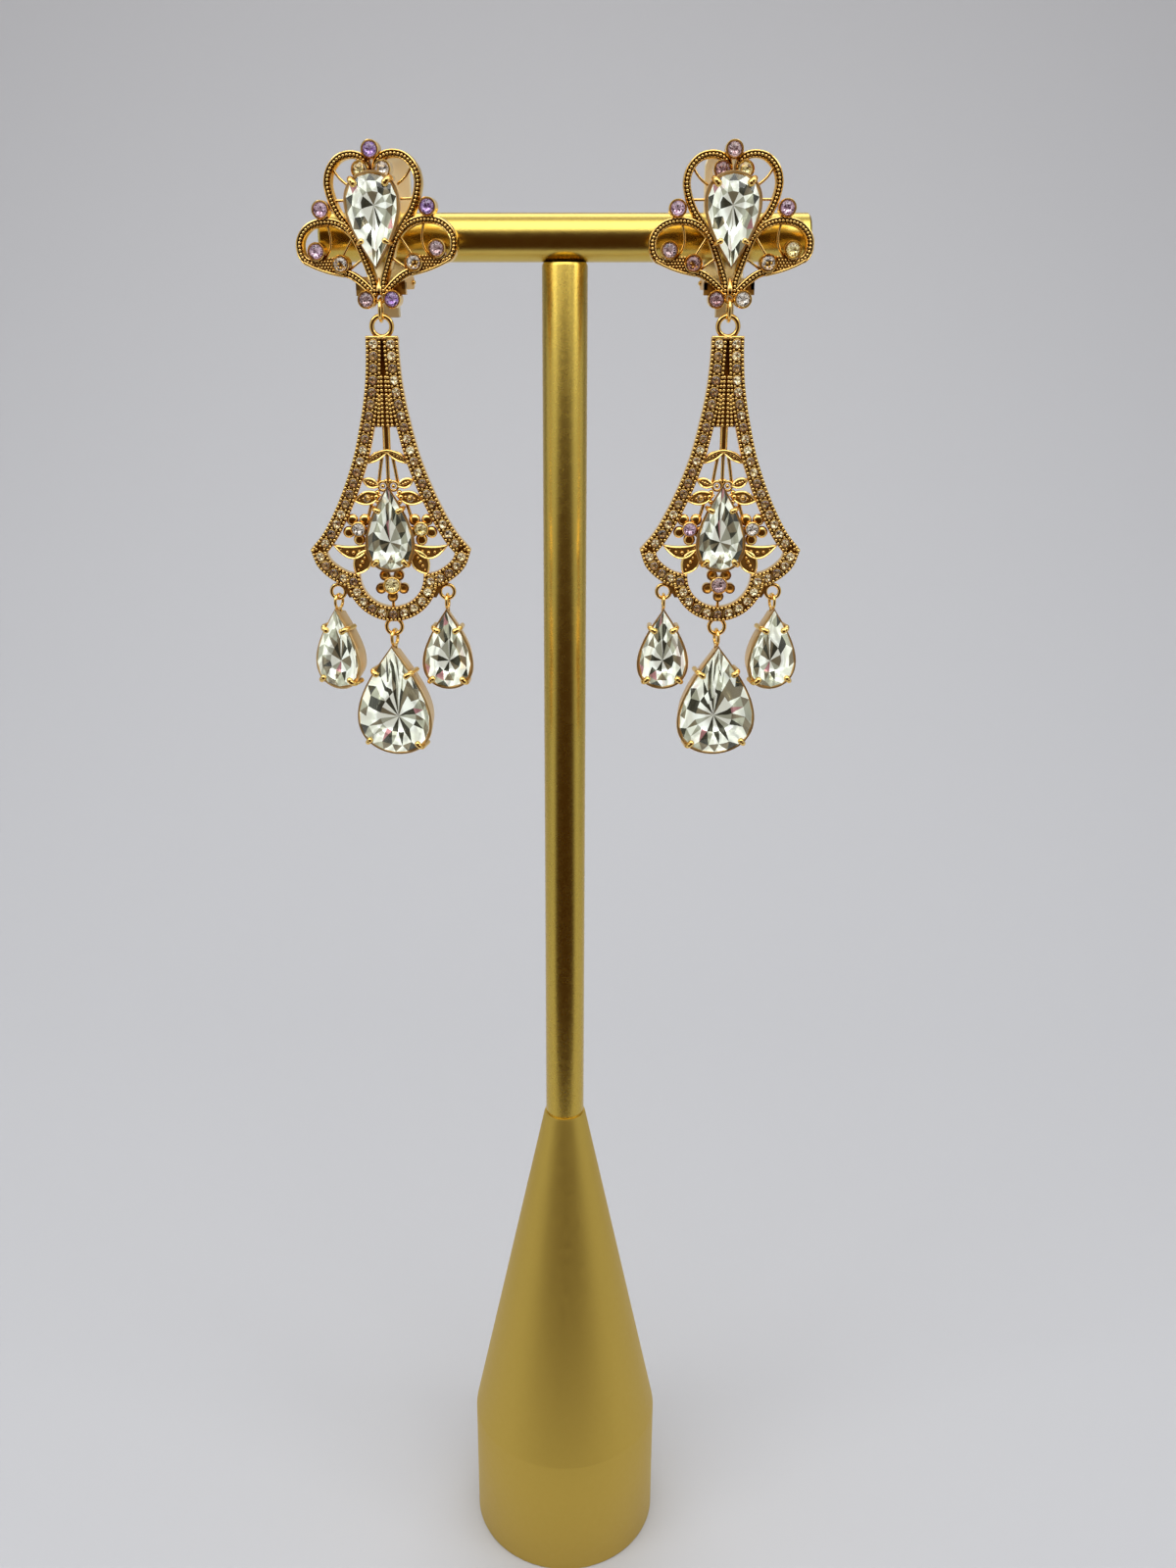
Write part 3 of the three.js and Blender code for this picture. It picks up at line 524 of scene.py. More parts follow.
@dataclass(frozen=True)
class PearOutline:
    """A pear-shaped stone's outline, tip up."""

    width: float
    length: float

    def spot(self, turn: float, growth: float = 0.0) -> Vector:
        """A point of the outline.

        Args:
            turn: From 0 at the tip round by the right, in radians.
            growth: How far the outline is grown.

        Returns:
            The point.
        """
        wide = math.sin(turn) * abs(math.sin(turn / 2)) ** PEAR_SHARPNESS / PEAR_WIDEST
        return Vector((wide * (self.width / 2 + growth), math.cos(turn) * (self.length / 2 + growth)))

    def middle(self) -> Vector:
        """The point that its facets close in on."""
        return Vector((0.0, -0.16 * self.length))


# Meshes


class Draft:
    """A mesh in the making: points in millimetres, and faces that each have a material and a tint."""

    def __init__(self) -> None:
        """Starts empty."""
        self.points: list[Vector] = []
        self.faces: list[tuple[int, ...]] = []
        self.slots: list[int] = []
        self.tints: list[float] = []
        self.flats: list[bool] = []
        self.sphere = self.unit_sphere()

    @staticmethod
    def unit_sphere() -> tuple[list[Vector], list[tuple[int, ...]]]:
        """The points and faces of a small sphere.

        Returns:
            Points of length one, and triangles.
        """
        mesh = bmesh.new()
        bmesh.ops.create_icosphere(mesh, subdivisions=2, radius=1.0)
        points = [v.co.copy() for v in mesh.verts]
        faces = [tuple(v.index for v in f.verts) for f in mesh.faces]
        mesh.free()
        return points, faces

    def add(
        self,
        points: Iterable[Vector],
        faces: Iterable[tuple[int, ...]],
        slot: int = 0,
        tint: float = 0.5,
        flat: bool = False,
        place: Matrix | None = None,
    ) -> None:
        """Adds points and faces.

        Args:
            points: The new points.
            faces: The faces, numbered from the first new point.
            slot: The material's number.
            tint: The tint of the faces, from 0 to 1; on a foil it picks the facet's painted reflection tone.
            flat: Whether the faces keep sharp edges.
            place: Where the points go.
        """
        start = len(self.points)
        self.points.extend(place @ p if place else p for p in points)
        for face in faces:
            self.faces.append(tuple(start + i for i in face))
            self.slots.append(slot)
            self.tints.append(tint)
            self.flats.append(flat)

    def rings(
        self,
        rings: Sequence[Sequence[Vector]],
        closed: bool,
        caps: bool = True,
        recess: Sequence[int] = (),
        **look: object,
    ) -> None:
        """Joins rings of points, each as long as the next, into a skin.

        Args:
            rings: The rings.
            closed: Whether the last ring meets the first.
            caps: Whether the two end rings are filled.
            recess: The numbers of the lanes that lie in a recess; they take the darker gold of painted shade.
            look: What add takes.
        """
        first = len(self.faces)
        size = len(rings[0])
        points = [p for ring in rings for p in ring]
        faces: list[tuple[int, ...]] = []
        last = len(rings) if closed else len(rings) - 1
        for i in range(last):
            a, b = i * size, (i + 1) % len(rings) * size
            faces += [(a + k, a + (k + 1) % size, b + (k + 1) % size, b + k) for k in range(size)]
        if caps and not closed:
            faces.append(tuple(range(size)))
            faces.append(tuple(len(points) - size + k for k in range(size)))
        self.add(points, faces, **look)
        for i in range(last):
            for lane in recess:
                self.slots[first + i * size + lane] = PAINTED_SHADE_SLOT

    def band(
        self,
        line: Sequence[Vector],
        profile: Sequence[Mark],
        closed: bool = False,
        recess: Sequence[int] = (),
        **look: object,
    ) -> None:
        """Sweeps a profile along a flat line in the XZ plane.

        Args:
            line: The line's points.
            profile: Across the line, then forward of its plane.
            closed: Whether the line's ends meet.
            recess: The numbers of the profile's sides that lie in a recess; they take the darker gold of painted
                shade.
            look: What add takes.
        """
        rings = []
        for point, side in zip(line, mitres(line, closed)):
            spots = [point + side * across for across, _ in profile]
            rings.append([Vector((s.x, -forward, s.y)) for s, (_, forward) in zip(spots, profile)])
        self.rings(rings, closed, recess=recess, **look)

    def tube(
        self,
        path: Sequence[Vector],
        radii: float | Sequence[float],
        sides: int = 10,
        closed: bool = False,
        **look: object,
    ) -> None:
        """Draws a round wire along a path.

        Args:
            path: The wire's middle line.
            radii: Its radius, or one for each point.
            sides: How many sides its section has.
            closed: Whether the path's ends meet.
            look: What add takes.
        """
        count = len(path)
        sizes = [radii] * count if isinstance(radii, float) else list(radii)
        rings = []
        normal = None
        for i in range(count):
            ahead = path[(i + 1) % count] if closed or i < count - 1 else path[i]
            behind = path[i - 1] if closed or i > 0 else path[i]
            tangent = (ahead - behind).normalized()
            if normal is None:
                normal = tangent.orthogonal().normalized()
            normal = (normal - tangent * normal.dot(tangent)).normalized()
            across = tangent.cross(normal)
            turns = [2 * math.pi * k / sides for k in range(sides)]
            rings.append([path[i] + (normal * math.cos(t) + across * math.sin(t)) * sizes[i] for t in turns])
        self.rings(rings, closed, **look)

    def wire(self, marks: Sequence[Mark], radius: float, forward: float = 0.0) -> None:
        """Draws a round wire along a smooth flat line.

        Args:
            marks: Points in the XZ plane that it passes through.
            radius: Its radius.
            forward: How far in front of the plane it lies.
        """
        line = smooth_line(marks, 0.35)
        self.tube([Vector((p.x, -forward, p.y)) for p in line], radius)

    def ring(self, centre: Vector, radius: float, wire: float, axis: Axis, around: int = 44) -> None:
        """Draws a round wire ring.

        Args:
            centre: Its middle.
            radius: From its middle to the middle of its wire.
            wire: The wire's radius.
            axis: The axis that it is wound round.
            around: How many steps it has.
        """
        path = []
        for k in range(around):
            a, b = radius * math.cos(2 * math.pi * k / around), radius * math.sin(2 * math.pi * k / around)
            path.append(centre + (Vector((a, 0, b)) if axis is Axis.FRONT else Vector((0, a, b))))
        self.tube(path, wire, 14, True)

    def bead(self, centre: Vector, radius: float, **look: object) -> None:
        """Draws a small ball.

        Args:
            centre: Its middle.
            radius: Its radius.
            look: What add takes.
        """
        points, faces = self.sphere
        self.add([centre + p * radius for p in points], faces, **look)

    def beads(self, line: Sequence[Vector], radius: float, pitch: float, forward: float) -> None:
        """Draws a row of small balls along a flat line.

        Args:
            line: The line in the XZ plane.
            radius: The balls' radius.
            pitch: From ball to ball.
            forward: How far in front of the plane their middles lie.
        """
        for spot in even(line, pitch):
            self.bead(Vector((spot.x, -forward, spot.y)), radius)

    def loft(
        self,
        outline: RoundOutline | PearOutline,
        rows: Sequence[Row],
        place: Matrix,
        sides: int = 32,
        recess: Sequence[int] = (),
        **look: object,
    ) -> None:
        """Lofts an outline through heights.

        Args:
            outline: The outline.
            rows: Share of the outline, growth past it, and height.
            place: Where it goes; its heights run along Z.
            sides: How many sides it has.
            recess: The numbers of the steps between rows that lie in a recess; they take the darker gold of painted
                shade.
            look: What add takes.
        """
        first = len(self.faces)
        rings = []
        for share, growth, height in rows:
            turns = [2 * math.pi * k / sides for k in range(sides)]
            spots = [outline.spot(t, growth) * max(share, 0.001) for t in turns]
            rings.append([Vector((s.x, s.y, height)) for s in spots])
        self.rings(rings, False, place=place, **look)
        for step in recess:
            for k in range(sides):
                self.slots[first + step * sides + k] = PAINTED_SHADE_SLOT

    def plate(self, outline: Sequence[Mark], front: float, back: float, **look: object) -> None:
        """Draws a flat plate cut to an outline in the XZ plane.

        Args:
            outline: The outline's points.
            front: How far in front of the plane it starts.
            back: How far behind it ends.
            look: What add takes.
        """
        rings = [[Vector((x, y, z)) for x, z in outline] for y in (-front, back)]
        self.rings(rings, False, **look)

    def box(self, low: Sequence[float], high: Sequence[float], **look: object) -> None:
        """Draws a box between two corners.

        Args:
            low: Its lowest corner.
            high: Its highest corner.
            look: What add takes.
        """
        (x0, y0, z0), (x1, y1, z1) = low, high
        rings = [[Vector((x, y, z)) for x, y in ((x0, y0), (x1, y0), (x1, y1), (x0, y1))] for z in (z0, z1)]
        self.rings(rings, False, **look)

    def build(self, name: str, place: Matrix, materials: Sequence[bpy.types.Material]) -> bpy.types.Object:
        """Makes the Blender object.

        Args:
            name: The piece's name.
            place: From its own millimetre frame to the model's, in millimetres.
            materials: Its materials, by number.

        Returns:
            The object.
        """
        into = Matrix.Scale(MM, 4) @ place
        mesh = bpy.data.meshes.new(name)
        mesh.from_pydata([into @ p for p in self.points], [], self.faces)
        for material in materials:
            mesh.materials.append(material)
        mesh.polygons.foreach_set("material_index", self.slots)
        mesh.polygons.foreach_set("use_smooth", [not flat for flat in self.flats])
        # The facet attribute holds each foil facet's painted reflection tone.
        facet = mesh.attributes.new("facet", "FLOAT", "FACE")
        facet.data.foreach_set("value", self.tints)
        edit = bmesh.new()
        edit.from_mesh(mesh)
        bmesh.ops.recalc_face_normals(edit, faces=edit.faces)
        edit.to_mesh(mesh)
        edit.free()
        mesh.set_sharp_from_angle(angle=math.radians(38))
        mesh.update()
        piece = bpy.data.objects.new(name, mesh)
        bpy.context.scene.collection.objects.link(piece)
        return piece


@dataclass
class CutStone:
    """A cut stone: a table, three rows of crown facets, a girdle, and foiled facets behind."""

    outline: RoundOutline | PearOutline
    crown: float
    pavilion: float
    girdle: float = 0.22
    table: float = 0.62
    mains: int = 8
    seed: int = 1
    rows: tuple[Mark, ...] = ((0.42, 0.92), (0.74, 0.55))
    # Scales the foil's painted reflection tones.
    painted_sparkle_scale: float = 1.0

    def ring(self, share: float, odd: bool, height: float) -> list[Vector]:
        """One ring of facet corners.

        Args:
            share: Share of the outline, closing in on its middle.
            odd: Whether the corners lie between the main facets.
            height: The ring's height.

        Returns:
            The corners.
        """
        middle = self.outline.middle()
        result = []
        for i in range(self.mains):
            spot = self.outline.spot(2 * math.pi * (i + (0.5 if odd else 0.0)) / self.mains)
            spot = middle + (spot - middle) * share
            result.append(Vector((spot.x, spot.y, height)))
        return result

    def facets(
        self, rise: float, top: float, edge: list[Vector],
    ) -> tuple[list[Vector], list[tuple[int, ...]]]:
        """The corners and facets between a flat or pointed end and the girdle.

        Args:
            rise: The height of the end above the girdle's edge; negative behind.
            top: Share of the outline at that end.
            edge: The girdle's corners, main and between in turn.

        Returns:
            Points and faces, without the end's own face.
        """
        n = self.mains
        base = edge[0].z
        waist = top + (1 - top) * 0.52
        ends = self.ring(top, False, base + rise)
        waists = self.ring(waist, True, base + rise * 0.58)
        points = ends + waists + edge
        faces: list[tuple[int, ...]] = []
        for i in range(n):
            after = (i + 1) % n
            star = (i, after, n + i)
            kite = (i, n + (i - 1) % n, 2 * n + 2 * i, n + i)
            near = (n + i, 2 * n + 2 * i, 2 * n + 2 * i + 1)
            far = (n + i, 2 * n + 2 * i + 1, 2 * n + 2 * after)
            faces += [star, kite[:3], (kite[0], kite[2], kite[3]), near, far]
        return points, faces

    def draw(self, draft: Draft, place: Matrix, glass: int = 0, foil: int = 1) -> None:
        """Adds the stone to a mesh.

        Args:
            draft: The mesh.
            place: Where the stone goes; its table looks along Z.
            glass: The number of the clear material.
            foil: The number of the foil.
        """
        chance = random.Random(self.seed)
        count = 2 * self.mains
        spots = [self.outline.spot(2 * math.pi * k / count) for k in range(count)]
        upper = [Vector((s.x, s.y, self.girdle / 2)) for s in spots]
        lower = [Vector((s.x, s.y, -self.girdle / 2)) for s in spots]
        start = len(draft.points)
        points, faces = self.facets(self.crown, self.table, upper)
        draft.add(points, faces, glass, flat=True, place=place)
        draft.add([], [tuple(start - len(draft.points) + i for i in range(self.mains))], glass, flat=True)
        rim = start + 2 * self.mains
        low = len(draft.points)
        points, faces, low_rim = self.back_facets(lower)
        draft.add(points, [], foil, place=place)
        # Each foil facet gets a random painted reflection tone, scaled by the stone's painted sparkle.
        for face in faces:
            draft.add(
                [], [tuple(low - len(draft.points) + i for i in face)], foil, chance.random() * self.painted_sparkle_scale, True
            )
        here = len(draft.points)
        for k in range(count):
            after = (k + 1) % count
            corners = (rim + k, rim + after, low + low_rim + after, low + low_rim + k)
            draft.add([], [tuple(c - here for c in corners)], glass, flat=True)

    def back_facets(self, edge: list[Vector]) -> tuple[list[Vector], list[tuple[int, ...]], int]:
        """The foiled facets behind, in rows that close in on a point.

        Args:
            edge: The girdle's corners.

        Returns:
            Points, faces, and the number of the first point of the girdle.
        """
        n = len(edge)
        middle = self.outline.middle()
        rows: list[list[Vector]] = []
        for number, (share, depth) in enumerate(self.rows):
            shift = 0.5 if number % 2 else 0.0
            spots = [self.outline.spot(2 * math.pi * (k + shift) / n) for k in range(n)]
            ring = [middle + (spot - middle) * share for spot in spots]
            rows.append([Vector((s.x, s.y, edge[0].z - depth * self.pavilion)) for s in ring])
        points = [Vector((middle.x, middle.y, edge[0].z - self.pavilion))]
        for row in rows:
            points += row
        points += edge
        faces: list[tuple[int, ...]] = [(0, 1 + k, 1 + (k + 1) % n) for k in range(n)]
        for r in range(len(self.rows)):
            a, b = 1 + r * n, 1 + (r + 1) * n
            ahead = r % 2
            for k in range(n):
                after = (k + 1) % n
                if ahead:
                    faces += [(a + k, b + k, b + after), (a + k, b + after, a + after)]
                else:
                    faces += [(a + k, b + k, a + after), (a + after, b + k, b + after)]
        return points, faces, 1 + len(self.rows) * n


def standing(centre: Vector) -> Matrix:
    """The place of something whose heights look at the viewer.

    Args:
        centre: Its middle.

    Returns:
        The matrix.
    """
    return Matrix.Translation(centre) @ FRONT


@dataclass
class Claw:
    """A claw that runs up a cup's wall and bends over the stone's edge."""

    radius: float = 0.4
    start: float = 1.4
    reach: float = 0.5
    rise: float = 0.85
    tip: float = 0.5

    def draw(self, draft: Draft, outline: PearOutline, turn: float, girdle: float, place: Matrix) -> None:
        """Adds the claw to a mesh.

        Args:
            draft: The mesh.
            outline: The stone's outline.
            turn: Where on the outline it stands, in radians.
            girdle: The height of the stone's girdle.
            place: The stone's place.
        """
        small = 0.02
        edge = outline.spot(turn)
        ahead = outline.spot(turn + small) - edge
        out = Vector((-ahead.y, ahead.x)).normalized()
        wall = 0.42
        marks = [
            (wall, girdle - self.start),
            (wall + 0.02, girdle - self.start / 2),
            (wall + 0.04, girdle + 0.05),
            (wall - 0.1, girdle + self.rise * 0.62),
            (wall - 0.4, girdle + self.rise),
            (-self.reach, girdle + self.rise * 0.95),
        ]
        path = [Vector((edge.x + out.x * o, edge.y + out.y * o, h)) for o, h in marks]
        path = smooth_line(path, 0.16)
        path = [place @ p for p in path]
        draft.tube(path, self.radius, 10)
        draft.bead(path[-1], self.tip)
        draft.bead(path[0], self.radius)


@dataclass
class PearSetting:
    """A pear-shaped cup with four claws."""

    outline: PearOutline
    front: float
    back: float
    taper: float = 0.84
    gap: float = 0.12
    wall: float = 0.36
    depth: float = 3.4
    claw_turns: tuple[float, float] = (62.0, 147.0)
    claws: tuple[Claw, Claw] = (Claw(), Claw())

    def draw(self, draft: Draft, place: Matrix, metal: int, wall_metal: int) -> None:
        """Adds the cup to a mesh.

        Args:
            draft: The mesh.
            place: The stone's place; its heights look at the viewer.
            metal: The number of the claws' metal; it is not used, and the claws take slot 0.
            wall_metal: The number of the wall's metal.
        """
        outer = self.gap + self.wall
        floor = max(self.front - self.depth, -self.back + self.wall)
        rows = [
            (0.0, self.gap, floor),
            (self.taper - 0.04, self.gap, floor),
            (1.0, self.gap, self.front - 0.1),
            (1.0, self.gap + 0.06, self.front + 0.04),
            (1.0, outer - 0.08, self.front + 0.04),
            (1.0, outer, self.front - 0.08),
            (0.5 + self.taper / 2, outer, (self.front - self.back) / 2),
            (self.taper, outer, -self.back + 0.15),
            (self.taper, outer - 0.15, -self.back),
            (0.0, outer, -self.back),
        ]
        draft.loft(self.outline, rows, place, 64, slot=wall_metal)
        for degrees, claw in zip(self.claw_turns, self.claws):
            for turn in (math.radians(degrees), -math.radians(degrees)):
                self.claw(draft, claw, turn, place)

    def claw(self, draft: Draft, claw: Claw, turn: float, place: Matrix) -> None:
        """Adds one claw at a turn of the outline."""
        claw.draw(draft, self.outline, turn, self.front, place)


@dataclass
class Bezel:
    """A round collar with a rolled lip."""

    stone: float = 1.05
    outer: float = 1.37
    front: float = 1.15
    back: float = 0.9

    def draw(self, draft: Draft, x: float, z: float) -> None:
        """Adds the collar to a mesh.

        Args:
            draft: The mesh.
            x: Its place across.
            z: Its place in height.
        """
        inner = self.stone + 0.03
        rows = [
            (0.0, 0.0, self.front - 0.95),
            (inner, 0.0, self.front - 0.95),
            (inner, 0.0, self.front - 0.08),
            (inner + 0.08, 0.0, self.front + 0.02),
            (self.outer - 0.1, 0.0, self.front),
            (self.outer, 0.0, self.front - 0.12),
            (self.outer, 0.0, -self.back + 0.1),
            (self.outer - 0.1, 0.0, -self.back),
            (0.0, 0.0, -self.back),
        ]
        draft.loft(RoundOutline(), rows, standing(Vector((x, 0, z))), 30)


# The sub-assemblies


@dataclass
class Placement:
    """Where one earring hangs and how its parts are turned, in millimetres and degrees."""

    side: Side
    yaw: float
    lean: float
    drop_yaws: dict[str, float]
    hues: dict[str, Hue]
    hang: Vector = field(init=False)
    swing: Vector = field(init=False)

    def __post_init__(self) -> None:
        """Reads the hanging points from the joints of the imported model."""
        places = {joint["name"]: Vector(joint["pos_m"]) / MM for joint in frame["joints"]}
        self.hang = places[f"side_swing_{self.side.value}"]
        self.swing = places[f"front_swing_{self.side.value}"]

    def plate(self) -> Matrix:
        """The place of the top plate's frame."""
        turn = (
            Matrix.Rotation(math.radians(self.yaw), 4, "Z")
            @ Matrix.Rotation(math.radians(self.lean), 4, "Y")
        )
        return Matrix.Translation(self.hang) @ turn

    def drop(self) -> Matrix:
        """The place of the main drop's frame."""
        return Matrix.Translation(self.swing)


@dataclass
class Stand:
    """The round foot with its cone, the post and the crossbar."""

    finishes: Finishes
    sides: int = 128
    edge: float = 0.45
    seam: float = 0.12
    seam_width: float = 0.35

    def turned(self, name: str, marks: Sequence[Mark], place: Matrix, finish: GoldFinish) -> None:
        """Builds a turned piece that stands for a node.

        Args:
            name: The node's name.
            marks: Radius and height, from foot to top.
            place: Where it goes.
            finish: Its finish.
        """
        draft = Draft()
        rows = [(radius, 0.0, height) for radius, height in marks]
        draft.loft(RoundOutline(), rows, Matrix.Identity(4), self.sides)
        piece = draft.build(name + "_turned", place, [self.finishes.gold(finish)])
        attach(piece, "root")
        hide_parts(name)
        LOG.info("built %s", piece.name)

    def build(self) -> None:
        """Builds the three pieces from the boxes of their nodes."""
        low, high = (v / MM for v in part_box("stand_base"))
        bar_low, bar_high = (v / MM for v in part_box("stand_bar"))
        post_low, post_high = (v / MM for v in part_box("stand_post"))
        foot, e = high.x, self.edge
        shoulder, neck, top = 27.0, 3.9, high.z
        base = [
            (0.0, 0.0),
            (foot - e, 0.0),
            (foot - e * 0.3, e * 0.3),
            (foot, e),
            (foot, shoulder - 0.2),
            (foot - 0.06, shoulder + 0.15),
            (neck + 0.1, top - 0.5),
            (neck - 0.1, top),
            (0.0, top),
        ]
        self.turned("stand_base", base, Matrix.Identity(4), SATIN_BASE)
        radius = post_high.x
        post = [
            (0.0, top),
            (radius - self.seam, top),
            (radius - self.seam, top + self.seam_width),
            (radius, top + self.seam_width + 0.15),
            (radius, post_high.z - 0.9),
            (radius - 0.25, post_high.z - 0.45),
            (0.0, post_high.z - 0.45),
        ]
        self.turned("stand_post", post, Matrix.Identity(4), SATIN_POST)
        bar = bar_high.z - (bar_low.z + bar_high.z) / 2
        length = bar_high.x
        across = [
            (0.0, -length),
            (bar - 0.35, -length),
            (bar, -length + 0.35),
            (bar, length - 0.35),
            (bar - 0.35, length),
            (0.0, length),
        ]
        axis = Vector((0, 0, (bar_low.z + bar_high.z) / 2))
        place = Matrix.Translation(axis) @ Matrix.Rotation(math.radians(90), 4, "Y")
        self.turned("stand_bar", across, place, SATIN_BAR)


@dataclass
class TopPlate:
    """The pierced plate: heart, wings, webs, bezels, the large stone's cup, and the clip's ears behind."""

    placement: Placement
    finishes: Finishes
    half_width: float = 12.5
    height: float = 21.0
    thickness: float = 1.5
    band_width: float = 1.16
    stone: PearOutline = PearOutline(7.8, 13.0)
    stone_share: float = 0.529
    heart: tuple[Mark, ...] = (
        (0.056, 0.857), (0.066, 0.914), (0.136, 0.955), (0.248, 0.971), (0.376, 0.957), (0.472, 0.914),
        (0.536, 0.852), (0.558, 0.781), (0.54, 0.714), (0.504, 0.648), (0.448, 0.581), (0.376, 0.524),
        (0.304, 0.462), (0.224, 0.376), (0.16, 0.281), (0.104, 0.19), (0.062, 0.11), (0.058, 0.03),
    )
    wing: tuple[Mark, ...] = (
        (0.248, 0.41), (0.344, 0.471), (0.456, 0.512), (0.576, 0.529), (0.704, 0.526), (0.816, 0.505),
        (0.904, 0.462), (0.956, 0.405), (0.96, 0.352), (0.944, 0.31), (0.896, 0.271), (0.824, 0.255),
    )
    foot: tuple[Mark, ...] = (
        (0.448, 0.186), (0.352, 0.169), (0.264, 0.138), (0.176, 0.095), (0.104, 0.052),
    )
    web: tuple[Mark, ...] = (
        (0.92, 0.262), (0.816, 0.229), (0.662, 0.194), (0.531, 0.173), (0.43, 0.16), (0.37, 0.2),
        (0.52, 0.29), (0.66, 0.283), (0.8, 0.27),
    )
    wires: tuple[tuple[Mark, ...], ...] = (
        ((0.5, 0.9), (0.41, 0.82), (0.3, 0.765)),
        ((0.52, 0.671), (0.28, 0.671)),
        ((0.6, 0.51), (0.573, 0.45), (0.568, 0.39), (0.6, 0.33), (0.67, 0.276)),
        ((0.29, 0.425), (0.44, 0.29)),
        ((0.15, 0.29), (0.38, 0.195)),
    )
    stones: tuple[tuple[str, float, float], ...] = (
        ("crown", 0.0, 1.0), ("under_crown", 0.135, 0.869), ("shoulder", 0.66, 0.614),
        ("wing_outer", 0.75, 0.333), ("wing_inner", 0.456, 0.243), ("foot", 0.163, -0.005),
    )

    def spread(self, marks: Sequence[Mark], hand: int) -> list[Mark]:
        """Turns shares of the plate into millimetres, on one hand of its middle."""
        return [(hand * x * self.half_width, z * self.height) for x, z in marks]

    def channel(self, draft: Draft, line: Sequence[Vector]) -> None:
        """Draws a band with two bright rails and a row of beads between them.

        Args:
            draft: The mesh.
            line: The band's middle line.
        """
        half, front = self.band_width / 2, self.thickness / 2
        rail, floor = 0.24, front - 0.3
        near = half - rail
        profile = [
            (-half, -front), (-half, front - 0.12), (-half + 0.05, front), (-half + 0.13, front + 0.04),
            (-near - 0.02, front - 0.04), (-near, floor), (near, floor), (near + 0.02, front - 0.04),
            (half - 0.13, front + 0.04), (half - 0.05, front), (half, front - 0.12), (half, -front),
        ]
        # The channel's floor takes the darker gold of painted shade.
        draft.band(line, profile, recess=(4, 5, 6))
        draft.beads(line, 0.27, 0.56, floor + 0.16)

    def granules(self, draft: Draft, outline: Sequence[Mark], forward: float) -> None:
        """Fills an outline with small grains.

        Args:
            draft: The mesh.
            outline: The outline's points.
            forward: How far in front of the plane the grains lie.
        """
        pitch, radius = 0.5, 0.21
        xs, zs = [p[0] for p in outline], [p[1] for p in outline]
        z, odd = min(zs), False
        while z < max(zs):
            x = min(xs) + (pitch / 2 if odd else 0.0)
            while x < max(xs):
                if inside((x, z), outline):
                    draft.bead(Vector((x, -forward, z)), radius)
                x += pitch
            z += pitch * 0.87
            odd = not odd

    def draw_half(self, draft: Draft, hand: int) -> None:
        """Draws one half of the plate's bands, webs and wires.

        Args:
            draft: The mesh.
            hand: 1 for the right half and -1 for the left.
        """
        front = self.thickness / 2
        for marks in (self.heart, self.wing, self.foot):
            self.channel(draft, smooth_line(self.spread(marks, hand), 0.3))
        web = self.spread(self.web, hand)
        # The web's backing plate is the darker gold of painted shade.
        draft.plate(web, front - 0.3, front - 0.2, slot=PAINTED_SHADE_SLOT)
        self.granules(draft, web, front - 0.24)
        rim = smooth_line(web[:5], 0.3)
        draft.tube([Vector((p.x, -front + 0.1, p.y)) for p in rim], 0.2)
        for marks in self.wires:
            draft.wire(self.spread(marks, hand), 0.2, 0.25)

    def stone_spots(self) -> list[tuple[str, float, float]]:
        """The names and places of the round stones, in millimetres."""
        result = []
        for name, x, z in self.stones:
            hands = [("", 1)] if x == 0 else [("_l", -1), ("_r", 1)]
            result += [(name + tail, hand * x * self.half_width, z * self.height) for tail, hand in hands]
        return result

    def draw_ears(self, draft: Draft) -> None:
        """Draws the clip's strap and ears behind the plate.

        Args:
            draft: The mesh.
        """
        front, strap_back = self.thickness / 2 - 0.3, self.thickness / 2 + 0.7
        pivot_y, pivot_z, half = 6.1, 2.3, 1.0
        draft.box((-3.9, front, pivot_z - 1.8), (3.9, strap_back, pivot_z), flat=True, slot=LEAF_SLOT)
        for hand in (1, -1):
            outline = [(front, pivot_z - half), (pivot_y, pivot_z - half)]
            outline += [tuple(p) for p in arc((pivot_y, pivot_z), half, -90, 90, 14)]
            outline += [(front, pivot_z + half)]
            rings = [[Vector((hand * x, y, z)) for y, z in outline] for x in (3.35, 3.9)]
            draft.rings(rings, False, slot=LEAF_SLOT)
            draft.bead(Vector((hand * 3.9, pivot_y, pivot_z)), 0.42)

    def build(self) -> None:
        """Builds the plate, the large stone and the round stones."""
        side = self.placement.side.value
        place = self.placement.plate()
        draft = Draft()
        for hand in (1, -1):
            self.draw_half(draft, hand)
        bezel = Bezel()
        for _, x, z in self.stone_spots():
            bezel.draw(draft, x, z)
        centre = Vector((0, 0, self.stone_share * self.height))
        seat = standing(centre) @ Matrix.Rotation(math.pi, 4, "Z")
        broad = Claw(0.5, 1.2, 0.4, 0.95, 0.58)
        small = Claw(0.34, 1.2, 0.3, 0.75, 0.46)
        setting = PearSetting(self.stone, 1.7, 1.9, claw_turns=(62.0, 147.0), claws=(small, broad))
        setting.draw(draft, seat, 0, 1)
        draft.ring(Vector((0, 0, 0.07)), 0.72, 0.25, Axis.FRONT)
        drip = [Vector((0, -0.1 - 0.12 * k, 3.0 - 0.5 * k)) for k in range(5)]
        draft.tube(drip, (0.1, 0.25, 0.42, 0.55, 0.5), 12)
        self.draw_ears(draft)
        plate = draft.build(f"top_plate_{side}", place, self.finishes.jewel_metals())
        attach(plate, "root")
        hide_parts(f"top_frame_{side}")
        LOG.info("built %s", plate.name)
        stone = Draft()
        cut = CutStone(self.stone, 1.0, 1.75, table=0.5, mains=9, seed=3)
        cut.draw(stone, Matrix.Translation((0, -1.85, 0)) @ seat)
